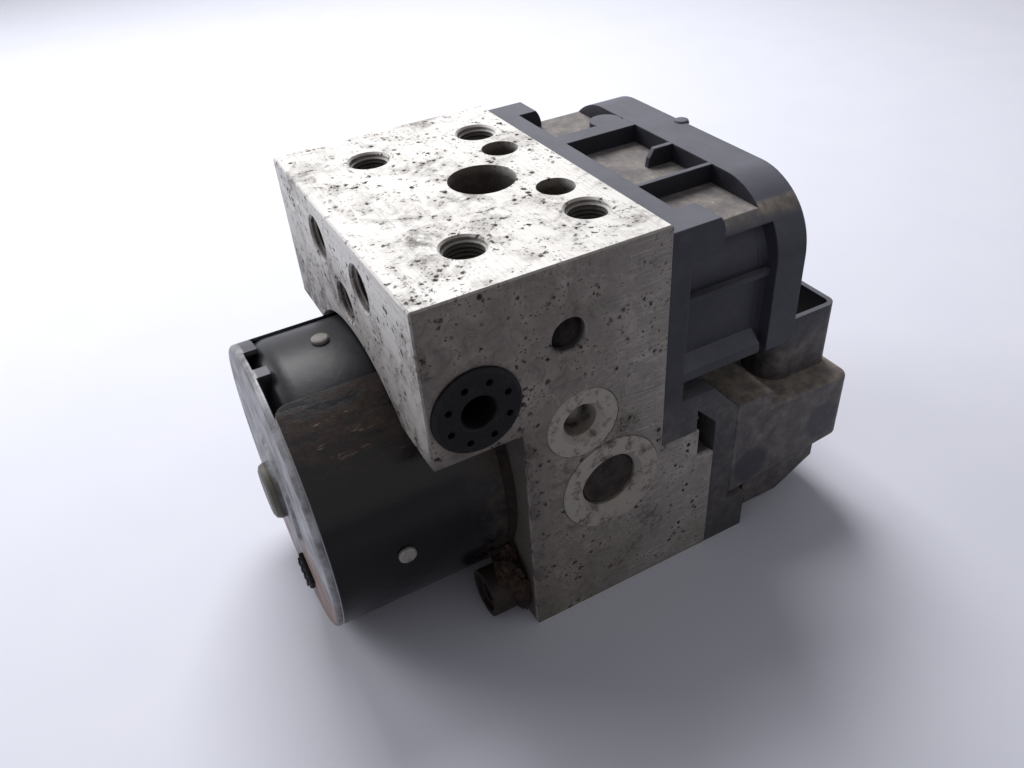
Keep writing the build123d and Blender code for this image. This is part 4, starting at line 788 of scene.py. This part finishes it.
for node_name in (
    "inlet_valves", "outlet_valves", "pump_sleeves", "pump_piston_left", "pump_piston_right",
):
    dress(node_name, valve_steel)
piston_metal = turned("anodised aluminium piston", "#9a9b9f", "#77787c", 0.2, 0.4, 0.9)
for node_name in ("accumulator_piston_left", "accumulator_piston_right"):
    dress(node_name, piston_metal)


# Spring wires.
# Coiled steel wire between each pump piston and its plug, and each accumulator piston and its cover.
# Each spring's wire is copied into a piece of its own, and its node is hidden.
pump_travel = 0.6 * mm
accumulator_travel = 6.0 * mm
for kind, side_name, axis, travel in (
    ("pump", "left", (-1, 0, 0), pump_travel),
    ("pump", "right", (1, 0, 0), pump_travel),
    ("accumulator", "left", (0, 0, -1), accumulator_travel),
    ("accumulator", "right", (0, 0, -1), accumulator_travel),
):
    node_name = f"{kind}_spring_{side_name}"
    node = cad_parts[node_name]
    coil = bmesh.new()
    coil.from_mesh(node.data)
    bmesh.ops.transform(coil, matrix=node.matrix_world, verts=coil.verts[:])
    near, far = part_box(node_name)
    along = next(k for k in range(3) if axis[k])
    fixed = list((near + far) / 2)
    fixed[along] = far[along] if axis[along] > 0 else near[along]
    wire = new_piece(f"{node_name}_wire", coil, spring_wire)
    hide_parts(node_name)
    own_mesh(wire)


# Camera.
# It stands where the photograph was taken, above the motor's right side, slightly tilted.
view_from = Vector((0.1724, head_y - 0.0421, 0.1906))
view_along = Vector((-0.7142, 0.3460, -0.6084)).normalized()
roll = math.radians(-4.53)
back = -view_along
level = Vector((0, 0, 1)).cross(back).normalized()
upright = back.cross(level)
right = math.cos(roll) * level + math.sin(roll) * upright
up = back.cross(right)
lens = bpy.data.cameras.new("camera")
lens.lens = 30.33
lens.sensor_width = 36.0
lens.clip_start = 0.01
camera = bpy.data.objects.new("camera", lens)
camera.matrix_world = Matrix.Translation(view_from) @ Matrix((right, up, back)).transposed().to_4x4()
bpy.context.scene.collection.objects.link(camera)
bpy.context.scene.camera = camera


# Studio light.
# A broad lamp hangs high on the far side, and a weaker one stands beyond the motor.
# The pale room adds the rest, and its wall shows white to the camera and in reflections.
def lamp(name, place, aim, size, power):
    """Square area lamp aimed at a point."""
    light = bpy.data.lights.new(name, "AREA")
    light.shape = "SQUARE"
    light.size = size
    light.energy = power
    made = bpy.data.objects.new(name, light)
    made.location = place
    made.rotation_euler = (Vector(place) - Vector(aim)).to_track_quat("Z", "Y").to_euler()
    bpy.context.scene.collection.objects.link(made)


lamp_aim = (0, 0, 0.05)
lamp("window", (-0.5, 0.12, 0.72), lamp_aim, size=0.45, power=6.6)
lamp("front", (-0.6, -0.6, 0.45), lamp_aim, size=0.5, power=3.3)
world = bpy.data.worlds.new("room")
world.use_nodes = True
world.node_tree.nodes.clear()
bpy.context.scene.world = world
path_kind = add(world, "ShaderNodeLightPath")
direct = add(world, "ShaderNodeMath", {
    0: path_kind.outputs["Is Camera Ray"], 1: path_kind.outputs["Is Glossy Ray"],
}, operation="MAXIMUM")
direct = add(world, "ShaderNodeMath", {
    0: direct, 1: path_kind.outputs["Is Transmission Ray"],
}, operation="MAXIMUM")
room_light = add(world, "ShaderNodeBackground", {"Color": "#e4e4ea", "Strength": 0.25})
white_wall = add(world, "ShaderNodeBackground", {"Color": "#fbfbfd", "Strength": 1.0})
surround = add(world, "ShaderNodeMixShader", {0: direct, 1: room_light, 2: white_wall})
add(world, "ShaderNodeOutputWorld", {"Surface": surround})
bpy.context.scene.view_settings.view_transform = "Standard"
